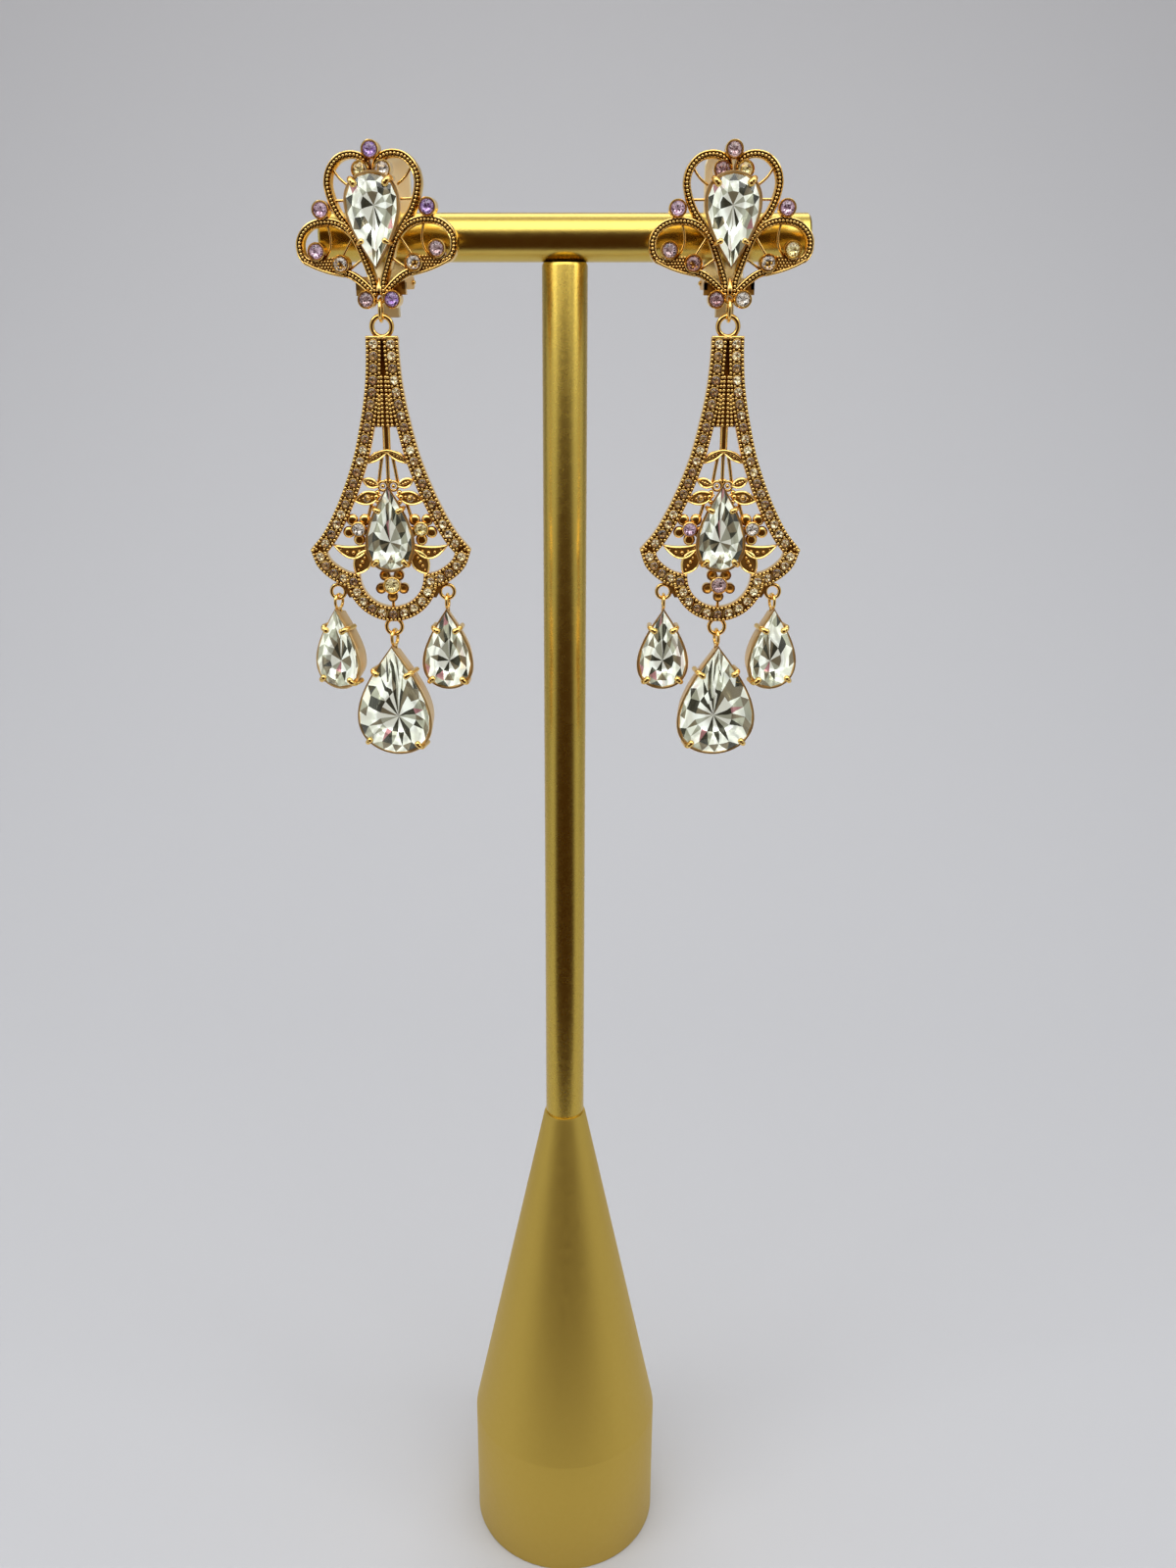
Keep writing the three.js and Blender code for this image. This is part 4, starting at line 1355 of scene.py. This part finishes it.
        set_stone(stone, f"top_pear_{side}", place, self.finishes, CLEAR_STONE, "root", f"top_stone_{side}")
        for number, (name, x, z) in enumerate(self.stone_spots()):
            stone = Draft()
            cut = CutStone(RoundOutline(1.03), 0.36, 0.55, 0.08, 0.58, seed=number)
            cut.draw(stone, standing(Vector((x, -1.0, z))))
            finish = HUES[self.placement.hues[name]]
            node = f"{name}_stone_{side}"
            set_stone(stone, f"{name}_brilliant_{side}", place, self.finishes, finish, "root", node)


def inside(point: Mark, outline: Sequence[Mark]) -> bool:
    """Whether a point lies in an outline.

    Args:
        point: The point.
        outline: The outline's corners.

    Returns:
        True inside it.
    """
    x, y = point
    found = False
    for (x0, y0), (x1, y1) in zip(outline, [*outline[1:], outline[0]]):
        if (y0 > y) != (y1 > y) and x < (x1 - x0) * (y - y0) / (y1 - y0) + x0:
            found = not found
    return found


def set_stone(
    draft: Draft,
    name: str,
    place: Matrix,
    finishes: Finishes,
    finish: CrystalFinish,
    body: str,
    node: str | None,
) -> bpy.types.Object:
    """Builds a stone's object and ties it to its body and node.

    Args:
        draft: The stone's mesh.
        name: The piece's name.
        place: Where it goes.
        finishes: The finishes.
        finish: The stone's finish.
        body: The body that it moves with.
        node: The node that it stands for, if any.

    Returns:
        The object.
    """
    piece = draft.build(name, place, finishes.crystal(finish))
    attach(piece, body)
    if node:
        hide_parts(node)
    LOG.info("set %s", name)
    return piece


@dataclass
class ClipLever:
    """The folded lever behind the bar, with its knuckle, pin and tail."""

    placement: Placement
    finishes: Finishes
    half_thickness: float = 0.35
    pivot: Mark = (6.1, 2.3)
    line: tuple[Mark, ...] = (
        (6.3, -2.8), (6.0, -0.1), (6.1, 2.3), (8.5, 3.3),
        (10.57, 5.38), (10.97, 9.0), (10.97, 15.3), (10.72, 21.6),
    )
    widths: tuple[Mark, ...] = (
        (0.0, 1.5), (0.15, 1.5), (0.2, 2.9), (0.3, 3.1), (0.4, 3.3), (0.93, 3.3), (0.97, 2.9), (1.0, 2.0),
    )

    def half_width(self, share: float) -> float:
        """Half the lever's width at a share of its length."""
        for (s0, w0), (s1, w1) in zip(self.widths, self.widths[1:]):
            if share <= s1:
                return w0 + (w1 - w0) * (share - s0) / (s1 - s0)
        return self.widths[-1][1]

    def build(self) -> None:
        """Builds the lever."""
        side = self.placement.side.value
        draft = Draft()
        line = smooth_line(self.line, 0.4)
        t = self.half_thickness
        rings = []
        for i, (point, across) in enumerate(zip(line, mitres(line))):
            w = self.half_width(i / (len(line) - 1))
            section = [(-w, -t * 0.6), (-w + 0.15, -t), (w - 0.15, -t),
                (w, -t * 0.6), (w, t * 0.6), (w - 0.15, t),
                       (-w + 0.15, t), (-w, t * 0.6)]
            rings.append([Vector((x, point.x + across.x * o, point.y + across.y * o)) for x, o in section])
        draft.rings(rings, False)
        across = Matrix.Translation((0, *self.pivot)) @ Matrix.Rotation(math.radians(90), 4, "Y")
        for radius, half in ((0.75, 3.05), (0.32, 3.75)):
            rows = [(0.0, 0.0, -half), (radius, 0.0, -half), (radius, 0.0, half), (0.0, 0.0, half)]
            draft.loft(RoundOutline(), rows, across, 24)
        piece = draft.build(f"clip_paddle_{side}", self.placement.plate(), [self.finishes.gold(CLIP)])
        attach(piece, f"lever_{side}")
        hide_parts(f"clip_lever_{side}")
        LOG.info("built %s", piece.name)


@dataclass
class JumpRing:
    """The ring that joins the plate to the main drop, seen edge on."""

    placement: Placement
    finishes: Finishes
    radius: float = 1.65
    wire: float = 0.28

    def build(self) -> None:
        """Builds the ring."""
        side = self.placement.side.value
        draft = Draft()
        draft.ring(Vector((0, 0, -self.radius)), self.radius, self.wire, Axis.ACROSS)
        place = Matrix.Translation(self.placement.hang)
        piece = draft.build(f"link_{side}_wire", place, [self.finishes.gold(POLISHED)])
        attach(piece, f"link_{side}")
        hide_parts(f"jump_ring_{side}")
        LOG.info("built %s", piece.name)


@dataclass
class Leaf:
    """A leaf with a raised rim and a grained face.

    Its root, its tip and the bows of its two edges are in millimetres.
    """

    root: Mark
    tip: Mark
    above: float
    below: float

    def draw(self, draft: Draft) -> None:
        """Adds the leaf to a mesh.

        Args:
            draft: The mesh.
        """
        a, b = Vector(self.root), Vector(self.tip)
        along = b - a
        up = Vector((-along.y, along.x)).normalized()
        middle = (a + b) / 2
        steps = 10
        outline = []
        for start, end, bow in ((a, b, -self.below), (b, a, self.above)):
            control = middle + up * 2 * bow
            for k in range(steps):
                t = k / steps
                outline.append(start * (1 - t) ** 2 + control * 2 * t * (1 - t) + end * t * t)
        rim = [(-0.13, -0.45), (-0.13, 0.45), (0.0, 0.54), (0.13, 0.45), (0.13, -0.45)]
        draft.band(outline, rim, True)
        draft.plate([tuple(p) for p in outline], 0.26, 0.4, slot=LEAF_SLOT)
        lift = (self.above - self.below) / 2
        for k, size in ((1, 0.2), (2, 0.28), (3, 0.34), (4, 0.28), (5, 0.18)):
            t = k / 6
            spot = a.lerp(b, t) + up * lift * 4 * t * (1 - t)
            draft.bead(Vector((spot.x, -0.24, spot.y)), size)


@dataclass
class MainDrop:
    """The pierced main drop: stone-set arms, elbows and bowl, with leaves, flowers and the middle stone."""

    placement: Placement
    finishes: Finishes
    half_width: float = 13.25
    height: float = 44.86
    top: float = -3.2
    band_width: float = 2.4
    thickness: float = 1.5
    bowl_radius: float = 6.4
    stone: PearOutline = PearOutline(7.2, 13.2)
    stone_top: float = 22.88
    arm: tuple[Mark, ...] = (
        (1.35, 0.0), (1.4, 2.38), (1.66, 6.19), (2.2, 10.0), (3.05, 14.0), (4.05, 18.0), (5.19, 21.3),
        (6.35, 24.18), (7.55, 26.78), (9.05, 29.61), (10.3, 31.5), (11.78, 33.25),
    )
    elbow: tuple[Mark, ...] = (
        (11.78, 33.25), (11.15, 35.0), (10.1, 36.2), (8.9, 37.1), (7.6, 37.77), (6.3, 38.1),
    )
    leaves: tuple[tuple[float, ...], ...] = (
        (0.05, 17.45, 3.25, 19.1, 0.75, 0.4),
        (1.5, 22.75, 4.05, 21.75, 0.62, 0.72),
        (1.3, 24.2, 5.5, 25.1, 1.0, 1.0),
        (3.2, 31.95, 9.25, 32.3, -0.45, 2.3),
        (3.6, 33.0, 5.85, 37.0, 1.35, 1.35),
    )
    wires: tuple[tuple[Mark, ...], ...] = (
        ((0.85, 18.3), (1.1, 19.6), (1.62, 22.9)),
        ((2.85, 25.6), (3.2, 26.8), (3.6, 28.1)),
    )
    flowers: tuple[tuple[str, float, float, float], ...] = (
        ("flower_l", -5.07, 29.6, 1.25), ("flower_r", 5.07, 29.6, 1.25), ("flower_foot", 0.0, 38.77, 1.45),
    )
    ring_spot: Mark = (9.01, 39.95)
    chance: random.Random = field(default_factory=lambda: random.Random(5))

    def at(self, x: float, down: float) -> Vector:
        """A point of the drop in its XZ plane, from a distance down its height."""
        return Vector((x, self.top - down))

    def spread(self, marks: Sequence[Mark], hand: int) -> list[Vector]:
        """Points of the drop on one hand of its middle."""
        return [self.at(hand * x, down) for x, down in marks]

    def stone_band(self, draft: Draft, line: Sequence[Vector]) -> None:
        """Draws a band with a raised beaded edge on either side.

        Args:
            draft: The mesh.
            line: The band's middle line.
        """
        half, front = self.band_width / 2, self.thickness / 2
        floor = front - 0.25
        profile = [
            (-half, -front), (-half, front - 0.16), (-half + 0.05, front - 0.1), (-half + 0.1, front - 0.1),
            (-half + 0.12, floor), (half - 0.12, floor),
            (half - 0.1, front - 0.1), (half - 0.05, front - 0.1),
            (half, front - 0.16), (half, -front),
        ]
        # The band's floor takes the darker gold of painted shade.
        draft.band(line, profile, recess=(3, 4, 5))
        for hand in (1, -1):
            edge = offset_line(line, hand * (half - 0.26))
            draft.beads(edge, 0.27, 0.66, front - 0.04)

    def pave_spots(
        self, line: Sequence[Vector], taken: list[Vector], pitch: float,
    ) -> list[tuple[Vector, Vector]]:
        """Places for the band's stones.

        Args:
            line: The band's middle line.
            taken: Stones that are there already; the new ones are added.
            pitch: From stone to stone.

        Returns:
            Each stone's place and the band's direction there.
        """
        result = []
        line = even(line, pitch / 2)
        for i in range(1, len(line) - 1, 2):
            spot = line[i]
            if all((spot - other).length > 0.8 * pitch for other in taken):
                taken.append(spot)
                result.append((spot, (line[i + 1] - line[i - 1]).normalized()))
        return result

    def draw_pave(
        self, draft: Draft, gems: Draft, line: Sequence[Vector], taken: list[Vector], bars: bool,
    ) -> None:
        """Sets a row of small stones along a band.

        Args:
            draft: The metal's mesh.
            gems: The stones' mesh.
            line: The band's middle line.
            taken: Stones that are there already.
            bars: Whether bars stand between the stones in place of beads.
        """
        front = self.thickness / 2
        pitch = 1.8
        for number, (spot, along) in enumerate(self.pave_spots(line, taken, pitch)):
            side = Vector((-along.y, along.x))
            # Painted sparkle: each stone's foil tones are scaled at random, and by 0.85 on the drop's left half as
            # painted shade.
            painted_sparkle = self.chance.choice((0.45, 0.6, 0.8, 1.0)) * (0.85 if spot.x < 0 else 1.0)
            cut = CutStone(RoundOutline(0.64), 0.22, 0.3, 0.06, 0.55, 6, number + 50, ((0.6, 0.7),), painted_sparkle)
            cut.draw(gems, standing(Vector((spot.x, -front - 0.12, spot.y))))
            draft.ring(Vector((spot.x, -front, spot.y)), 0.7, 0.09, Axis.FRONT, 16)
            corner = spot + along * pitch / 2
            if bars:
                ends = [corner - side * 0.7, corner + side * 0.7]
                draft.tube([Vector((p.x, -front + 0.06, p.y)) for p in ends], 0.15, 8)
            else:
                for across in (-0.42, 0.42):
                    bead = corner + side * across
                    draft.bead(Vector((bead.x, -front + 0.04, bead.y)), 0.22)

    def draw_half(self, draft: Draft, gems: Draft, taken: list[Vector], hand: int) -> None:
        """Draws one half of the drop.

        Args:
            draft: The metal's mesh.
            gems: The small stones' mesh.
            taken: Stones that are there already.
            hand: 1 for the right half and -1 for the left.
        """
        arm = smooth_line(self.spread(self.arm, hand), 0.45)
        elbow = smooth_line(self.spread(self.elbow, hand), 0.45)
        self.stone_band(draft, arm[:-1] + elbow)
        self.draw_pave(draft, gems, arm, taken, False)
        self.draw_pave(draft, gems, elbow, taken, True)
        for x0, d0, x1, d1, above, below in self.leaves:
            root, tip = self.at(hand * x0, d0), self.at(hand * x1, d1)
            bows = (above, below) if hand > 0 else (below, above)
            Leaf(tuple(root), tuple(tip), *bows).draw(draft)
        for marks in self.wires:
            draft.wire([tuple(p) for p in self.spread(marks, hand)], 0.28)
        curl = self.at(hand * 0.85, 22.75)
        draft.ring(Vector((curl.x, -0.3, curl.y)), 0.72, 0.22, Axis.FRONT, 24)
        draft.bead(Vector((curl.x, -0.25, curl.y)), 0.36)
        for x, down, size in (
            (1.75, 23.75, 0.42), (1.95, 24.5, 0.5), (1.75, 25.3, 0.42), (0.35, 21.95, 0.34),
        ):
            grain = self.at(hand * x, down)
            draft.bead(Vector((grain.x, -0.3, grain.y)), size)
        for x, down, size in (
            (12.15, 32.85, 0.28), (12.65, 33.05, 0.3), (12.15, 33.7, 0.28), (11.6, 33.3, 0.26),
        ):
            grain = self.at(hand * x, down)
            draft.bead(Vector((grain.x, -0.6, grain.y)), size)
        gusset = [(9.6, 38.1), (8.4, 37.4), (6.0, 38.0), (6.1, 40.8), (7.2, 40.95), (8.1, 39.4)]
        draft.plate([tuple(p) for p in self.spread(gusset, hand)], 0.3, 0.5, slot=LEAF_SLOT)
        ring = self.at(hand * self.ring_spot[0], self.ring_spot[1])
        draft.ring(Vector((ring.x, 0, ring.y)), 1.15, 0.3, Axis.FRONT)

    def draw_flower(self, draft: Draft, x: float, down: float, collar: float) -> None:
        """Draws a flower of five hollow petals round a collar.

        Args:
            draft: The mesh.
            x: Its place across.
            down: Its place down the drop.
            collar: The collar's outer radius.
        """
        centre = self.at(x, down)
        for i in range(5):
            turn = math.radians(-90 + 72 * i)
            spot = centre + Vector((math.cos(turn), math.sin(turn))) * (collar + 0.5)
            hollow = [
                (0.0, 0.0, -0.55), (0.84, 0.0, -0.55), (0.9, 0.0, 0.5), (0.86, 0.0, 0.66), (0.74, 0.0, 0.66),
                (0.58, 0.0, 0.4), (0.34, 0.0, 0.28), (0.0, 0.0, 0.24),
            ]
            dome = [
                (0.0, 0.0, -0.55), (0.9, 0.0, -0.55), (0.97, 0.0, 0.15), (0.92, 0.0, 0.36), (0.76, 0.0, 0.54),
                (0.5, 0.0, 0.66), (0.25, 0.0, 0.72), (0.0, 0.0, 0.74),
            ]
            # The foot flower's petal hollows take the darker gold of painted shade.
            petal, inner = (hollow, (4, 5, 6)) if x == 0 else (dome, ())
            draft.loft(RoundOutline(), petal, standing(Vector((spot.x, 0, spot.y))), 20, recess=inner)
        bezel = Bezel(stone=collar - 0.24, outer=collar, front=1.15, back=0.7)
        bezel.draw(draft, centre.x, centre.y)

    def draw_middle(self, draft: Draft, gems: Draft, taken: list[Vector]) -> None:
        """Draws what stands on the drop's middle line.

        Args:
            draft: The metal's mesh.
            gems: The small stones' mesh.
            taken: Stones that are there already.
        """
        front = self.thickness / 2
        bowl_centre = self.at(0, self.height - self.band_width / 2 - self.bowl_radius)
        bowl = arc(tuple(bowl_centre), self.bowl_radius, 180, 360, 48)
        self.stone_band(draft, bowl)
        self.draw_pave(draft, gems, bowl, taken, True)
        wedge = [(-0.6, 5.8), (0.6, 5.8), (1.62, 13.5), (-1.62, 13.5)]
        # The wedge between the columns is the darker gold of painted shade.
        draft.plate([tuple(self.at(x, d)) for x, d in wedge], front - 0.25, front, slot=PAINTED_SHADE_SLOT)
        for x0, x1 in ((0.34, 0.42), (0.75, 1.08)):
            start = 5.9 if x0 < 0.5 else 8.8
            for hand in (1, -1):
                row = [self.at(hand * x0, start), self.at(hand * x1, 13.2)]
                draft.beads(row, 0.29, 0.64, front - 0.06)
        cap = [(-2.5, -0.02), (2.5, -0.02)]
        draft.tube([Vector((x, -front + 0.15, self.top - d)) for x, d in cap], 0.26, 12)
        draft.box((-2.5, -front + 0.15, self.top - 0.4), (2.5, front, self.top + 0.1))
        # A box of the darker gold of painted shade closes the back of the slit.
        slit_painted_shade = (-0.6, front - 0.35, self.top - 6.2), (0.6, front - 0.1, self.top - 0.3)
        draft.box(*slit_painted_shade, slot=PAINTED_SHADE_SLOT)
        stem = [
            (-0.6, -0.3), (-0.6, 0.1), (-0.45, 0.32), (-0.15, 0.44), (0.15, 0.44), (0.45, 0.32), (0.6, 0.1),
            (0.6, -0.3),
        ]
        draft.band([self.at(0, d) for d in (13.0, 14.5, 16.0, 17.6)], stem)
        draft.tube([Vector((0, 0, self.top - d)) for d in (17.4, 23.4)], 0.3, 10)
        arch = [(-3.2, 19.0), (-1.9, 17.75), (0.0, 17.2), (1.9, 17.75), (3.2, 19.0)]
        draft.wire([tuple(self.at(x, d)) for x, d in arch], 0.25, 0.45)
        draft.tube([Vector((0, 0, self.top - d)) for d in (40.2, 43.6)], 0.25, 10)
        ring_z = -1.55
        draft.ring(Vector((0, 0, ring_z)), 1.55, 0.4, Axis.FRONT, 48)
        draft.ring(Vector((0, 0, self.top - self.height - 0.975)), 1.3, 0.325, Axis.FRONT)

    def build(self) -> None:
        """Builds the drop's metal, its small stones, the flowers' stones and the middle stone."""
        side = self.placement.side.value
        place = self.placement.drop()
        body = f"drop_{side}"
        draft, gems = Draft(), Draft()
        taken: list[Vector] = []
        for hand in (1, -1):
            self.draw_half(draft, gems, taken, hand)
        self.draw_middle(draft, gems, taken)
        for _, x, down, collar in self.flowers:
            self.draw_flower(draft, x, down, collar)
        for hand in (1, -1):
            spot = self.at(hand * 3.5, 24.72)
            cut = CutStone(RoundOutline(0.55), 0.2, 0.3, 0.06, 0.55, 6, seed=7)
            cut.draw(gems, standing(Vector((spot.x, -0.5, spot.y))))
        centre = Vector((0, 0, self.top - self.stone_top - self.stone.length / 2))
        seat = standing(centre)
        upper = Claw(0.4, 1.1, 0.35, 0.8, 0.48)
        lower = Claw(0.42, 1.1, 0.4, 0.85, 0.52)
        setting = PearSetting(self.stone, 1.3, 1.6, claws=(upper, lower))
        setting.draw(draft, seat, 0, 1)
        piece = draft.build(f"drop_lace_{side}", place, self.finishes.jewel_metals())
        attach(piece, body)
        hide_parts(f"drop_frame_{side}")
        LOG.info("built %s", piece.name)
        set_stone(gems, f"drop_pave_{side}", place, self.finishes, PAVE_STONE, body, None)
        stone = Draft()
        CutStone(self.stone, 1.0, 1.4, table=0.5, mains=9, seed=11).draw(
            stone, Matrix.Translation((0, -1.45, 0)) @ seat)
        set_stone(stone, f"drop_pear_{side}", place, self.finishes, CLEAR_STONE, body, f"drop_stone_{side}")
        for number, (name, x, down, collar) in enumerate(self.flowers):
            stone = Draft()
            spot = self.at(x, down)
            cut = CutStone(RoundOutline(collar - 0.26), 0.36, 0.5, 0.08, 0.58, seed=number + 20)
            cut.draw(stone, standing(Vector((spot.x, -1.0, spot.y))))
            finish = HUES[self.placement.hues[name]]
            node = f"{name}_stone_{side}"
            set_stone(stone, f"{name}_brilliant_{side}", place, self.finishes, finish, body, node)


@dataclass
class HangingStone:
    """A pear stone in a deep cup, tip up, under a bail seen edge on."""

    placement: Placement
    finishes: Finishes
    name: str
    stone: PearOutline
    depth: float
    bail: float
    bail_wire: float
    hook: Vector
    neck: float = 1.8
    mains: int = 8
    seed: int = 1

    def build(self) -> None:
        """Builds the cup with its bail, and the stone."""
        side = self.placement.side.value
        yaw = Matrix.Rotation(math.radians(self.placement.drop_yaws[self.name]), 4, "Z")
        place = self.placement.drop() @ Matrix.Translation(self.hook) @ yaw
        body = f"drop_{side}"
        front = self.depth * 0.4
        back = self.depth - front
        centre = Vector((0, 0, -2 * self.bail - self.bail_wire + 0.12 - self.stone.length / 2))
        seat = standing(centre)
        draft = Draft()
        claw = Claw(0.45, self.depth * 0.6, 0.4, 0.85, 0.55)
        setting = PearSetting(self.stone, front, back, claw_turns=(58.0, 145.0), claws=(claw, claw))
        setting.draw(draft, seat, 0, 1)
        draft.ring(Vector((0, 0, -self.bail)), self.bail, self.bail_wire, Axis.ACROSS)
        foot = -2 * self.bail
        draft.tube([Vector((0, 0.25, foot + 0.1)), Vector((0, 0.3, foot - self.neck))], 0.3, 10)
        piece = draft.build(f"{self.name}_cup_{side}", place, self.finishes.jewel_metals())
        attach(piece, body)
        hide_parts(f"{self.name}_setting_{side}")
        LOG.info("built %s", piece.name)
        stone = Draft()
        crown, pavilion = 0.14 * self.stone.width, 0.24 * self.stone.width
        CutStone(self.stone, crown, pavilion, table=0.52, mains=self.mains, seed=self.seed).draw(
            stone, Matrix.Translation((0, -front - 0.12, 0)) @ seat)
        node = f"{self.name}_stone_{side}"
        set_stone(stone, f"{self.name}_pear_{side}", place, self.finishes, CLEAR_STONE, body, node)


def hanging_stones(placement: Placement, finishes: Finishes) -> list[HangingStone]:
    """The three stones under one drop.

    Args:
        placement: The earring's placement.
        finishes: The finishes.

    Returns:
        The outer, inner and middle stone.
    """
    outward = 1 if placement.side is Side.RIGHT else -1
    small, big = PearOutline(7.7, 12.9), PearOutline(12.6, 18.1)
    ring_z, foot_z = -43.63, -49.61
    hooks = {"outer": (outward * 9.01, ring_z), "inner": (-outward * 9.01, ring_z)}
    stones = []
    for number, (name, (x, z)) in enumerate(hooks.items()):
        hook = Vector((x, 0, z))
        stones.append(HangingStone(placement, finishes, name, small, 3.4, 1.2, 0.25, hook, seed=30 + number))
    hook = Vector((0, 0, foot_z))
    stones.append(HangingStone(placement, finishes, "middle", big, 4.2, 1.32, 0.28, hook, 2.4, 12, 40))
    return stones


# The studio


@dataclass
class Softbox:
    """A soft area light that looks at a point; places and sizes are in metres."""

    name: str
    place: tuple[float, float, float]
    target: tuple[float, float, float]
    width: float
    height: float
    power: float
    colour: Colour = (1.0, 1.0, 1.0)

    def build(self) -> None:
        """Builds the light."""
        data = bpy.data.lights.new(self.name, "AREA")
        data.shape = "RECTANGLE"
        data.size, data.size_y = self.width, self.height
        data.energy = self.power
        data.color = self.colour
        light = bpy.data.objects.new(self.name, data)
        light.location = self.place
        aim = Vector(self.target) - Vector(self.place)
        light.rotation_euler = aim.to_track_quat("-Z", "Y").to_euler()
        bpy.context.scene.collection.objects.link(light)


@dataclass
class Studio:
    """A pale floor that curves up behind, soft lights, a dim room in front, and the camera."""

    camera_place: tuple[float, float, float] = (0.0, -0.2309, 0.248)
    pitch: float = 19.63
    lens: float = 31.5
    shift: float = 0.01475
    floor_colour: Colour = (0.565, 0.565, 0.572)
    wall_light: Colour = (0.9, 0.93, 1.0)
    room_dark: Colour = (0.085, 0.035, 0.008)
    air_strength: float = 0.66
    softboxes: tuple[Softbox, ...] = (
        Softbox("window", (0.0, -0.42, 0.9), (0.0, 0.0, 0.25), 0.9, 0.66, 3.9),
        Softbox("rear_overhead", (0.0, 0.4, 0.85), (0.0, 0.0, 0.25), 0.9, 0.35, 2.0),
        Softbox("upper_left", (-0.55, -0.35, 0.75), (0.0, 0.0, 0.2), 0.3, 0.3, 1.0),
        Softbox("upper_right", (0.6, -0.3, 0.7), (0.0, 0.0, 0.2), 0.25, 0.25, 0.7),
    )

    def floor(self) -> None:
        """Builds the floor and its curved back."""
        width, near, back, bend, tall = 4.0, -0.14, 0.7, 0.5, 1.6
        path = [Vector((near, 0.0)), Vector((back - bend, 0.0))]
        path += arc((back - bend, bend), bend, -90, 0, 24)[1:]
        path += [Vector((back, tall))]
        points = [Vector((x, p.x, p.y)) for p in path for x in (-width / 2, width / 2)]
        faces = [(2 * i, 2 * i + 1, 2 * i + 3, 2 * i + 2) for i in range(len(path) - 1)]
        mesh = bpy.data.meshes.new("floor")
        mesh.from_pydata(points, [], faces)
        mesh.polygons.foreach_set("use_smooth", [True] * len(faces))
        shader = Shader("pale_floor")
        shader.set(Base_Color=(*self.floor_colour, 1.0), Roughness=0.6)
        mesh.materials.append(shader.material)
        floor = bpy.data.objects.new("floor", mesh)
        bpy.context.scene.collection.objects.link(floor)

    def camera(self) -> None:
        """Builds the camera."""
        data = bpy.data.cameras.new("camera")
        data.lens = self.lens
        data.shift_x = self.shift
        data.clip_start = 0.01
        camera = bpy.data.objects.new("camera", data)
        camera.location = self.camera_place
        camera.rotation_euler = (math.radians(90 - self.pitch), 0.0, 0.0)
        bpy.context.scene.collection.objects.link(camera)
        bpy.context.scene.camera = camera

    def air(self) -> None:
        """Sets the soft light that comes from all round, with a dim room on the viewer's side."""
        world = bpy.data.worlds.new("air")
        world.use_nodes = True
        nodes, links = world.node_tree.nodes, world.node_tree.links
        direction = nodes.new("ShaderNodeTexCoord").outputs["Generated"]
        room = nodes.new("ShaderNodeVectorMath")
        room.operation = "DOT_PRODUCT"
        room.inputs[1].default_value = Vector((0.0, -1.0, -0.35)).normalized()
        links.new(direction, room.inputs[0])
        edge = nodes.new("ShaderNodeValToRGB")
        edge.color_ramp.elements[0].position = 0.5
        edge.color_ramp.elements[0].color = (*self.wall_light, 1.0)
        edge.color_ramp.elements[1].position = 0.71
        edge.color_ramp.elements[1].color = (*self.room_dark, 1.0)
        links.new(room.outputs["Value"], edge.inputs["Fac"])
        background = nodes["Background"]
        links.new(edge.outputs["Color"], background.inputs["Color"])
        background.inputs["Strength"].default_value = self.air_strength
        bpy.context.scene.world = world

    def build(self) -> None:
        """Builds the studio."""
        self.camera()
        self.floor()
        self.air()
        for softbox in self.softboxes:
            softbox.build()
        bpy.context.scene.view_settings.view_transform = "Standard"


LEFT_HUES = {
    "crown": Hue.VIOLET, "under_crown_l": Hue.CHAMPAGNE, "under_crown_r": Hue.CLEAR,
    "shoulder_l": Hue.LILAC, "shoulder_r": Hue.VIOLET, "wing_outer_l": Hue.LILAC,
    "wing_outer_r": Hue.SMOKE, "wing_inner_l": Hue.CLEAR, "wing_inner_r": Hue.CLEAR,
    "foot_l": Hue.SMOKE, "foot_r": Hue.VIOLET,
    "flower_l": Hue.CLEAR, "flower_r": Hue.CHAMPAGNE, "flower_foot": Hue.CHAMPAGNE,
}
RIGHT_HUES = {
    "crown": Hue.SMOKE, "under_crown_l": Hue.BROWN, "under_crown_r": Hue.CHAMPAGNE,
    "shoulder_l": Hue.LILAC, "shoulder_r": Hue.LILAC, "wing_outer_l": Hue.SMOKE,
    "wing_outer_r": Hue.CHAMPAGNE, "wing_inner_l": Hue.BROWN, "wing_inner_r": Hue.CLEAR,
    "foot_l": Hue.BROWN, "foot_r": Hue.CLEAR,
    "flower_l": Hue.LILAC, "flower_r": Hue.CLEAR, "flower_foot": Hue.SMOKE,
}


def main() -> None:
    """Builds the studio, the stand and both earrings."""
    logging.basicConfig(level=logging.INFO, format="%(name)s: %(message)s")
    Studio().build()
    finishes = Finishes()
    Stand(finishes).build()
    placements = [
        Placement(Side.LEFT, -7.0, -1.3, {"inner": -6.0, "middle": -15.0, "outer": -22.0}, LEFT_HUES),
        Placement(Side.RIGHT, 0.0, -0.3, {"inner": 0.0, "middle": 8.0, "outer": 12.0}, RIGHT_HUES),
    ]
    for placement in placements:
        TopPlate(placement, finishes).build()
        ClipLever(placement, finishes).build()
        JumpRing(placement, finishes).build()
        MainDrop(placement, finishes).build()
        for stone in hanging_stones(placement, finishes):
            stone.build()


if __name__ == "__main__":
    main()
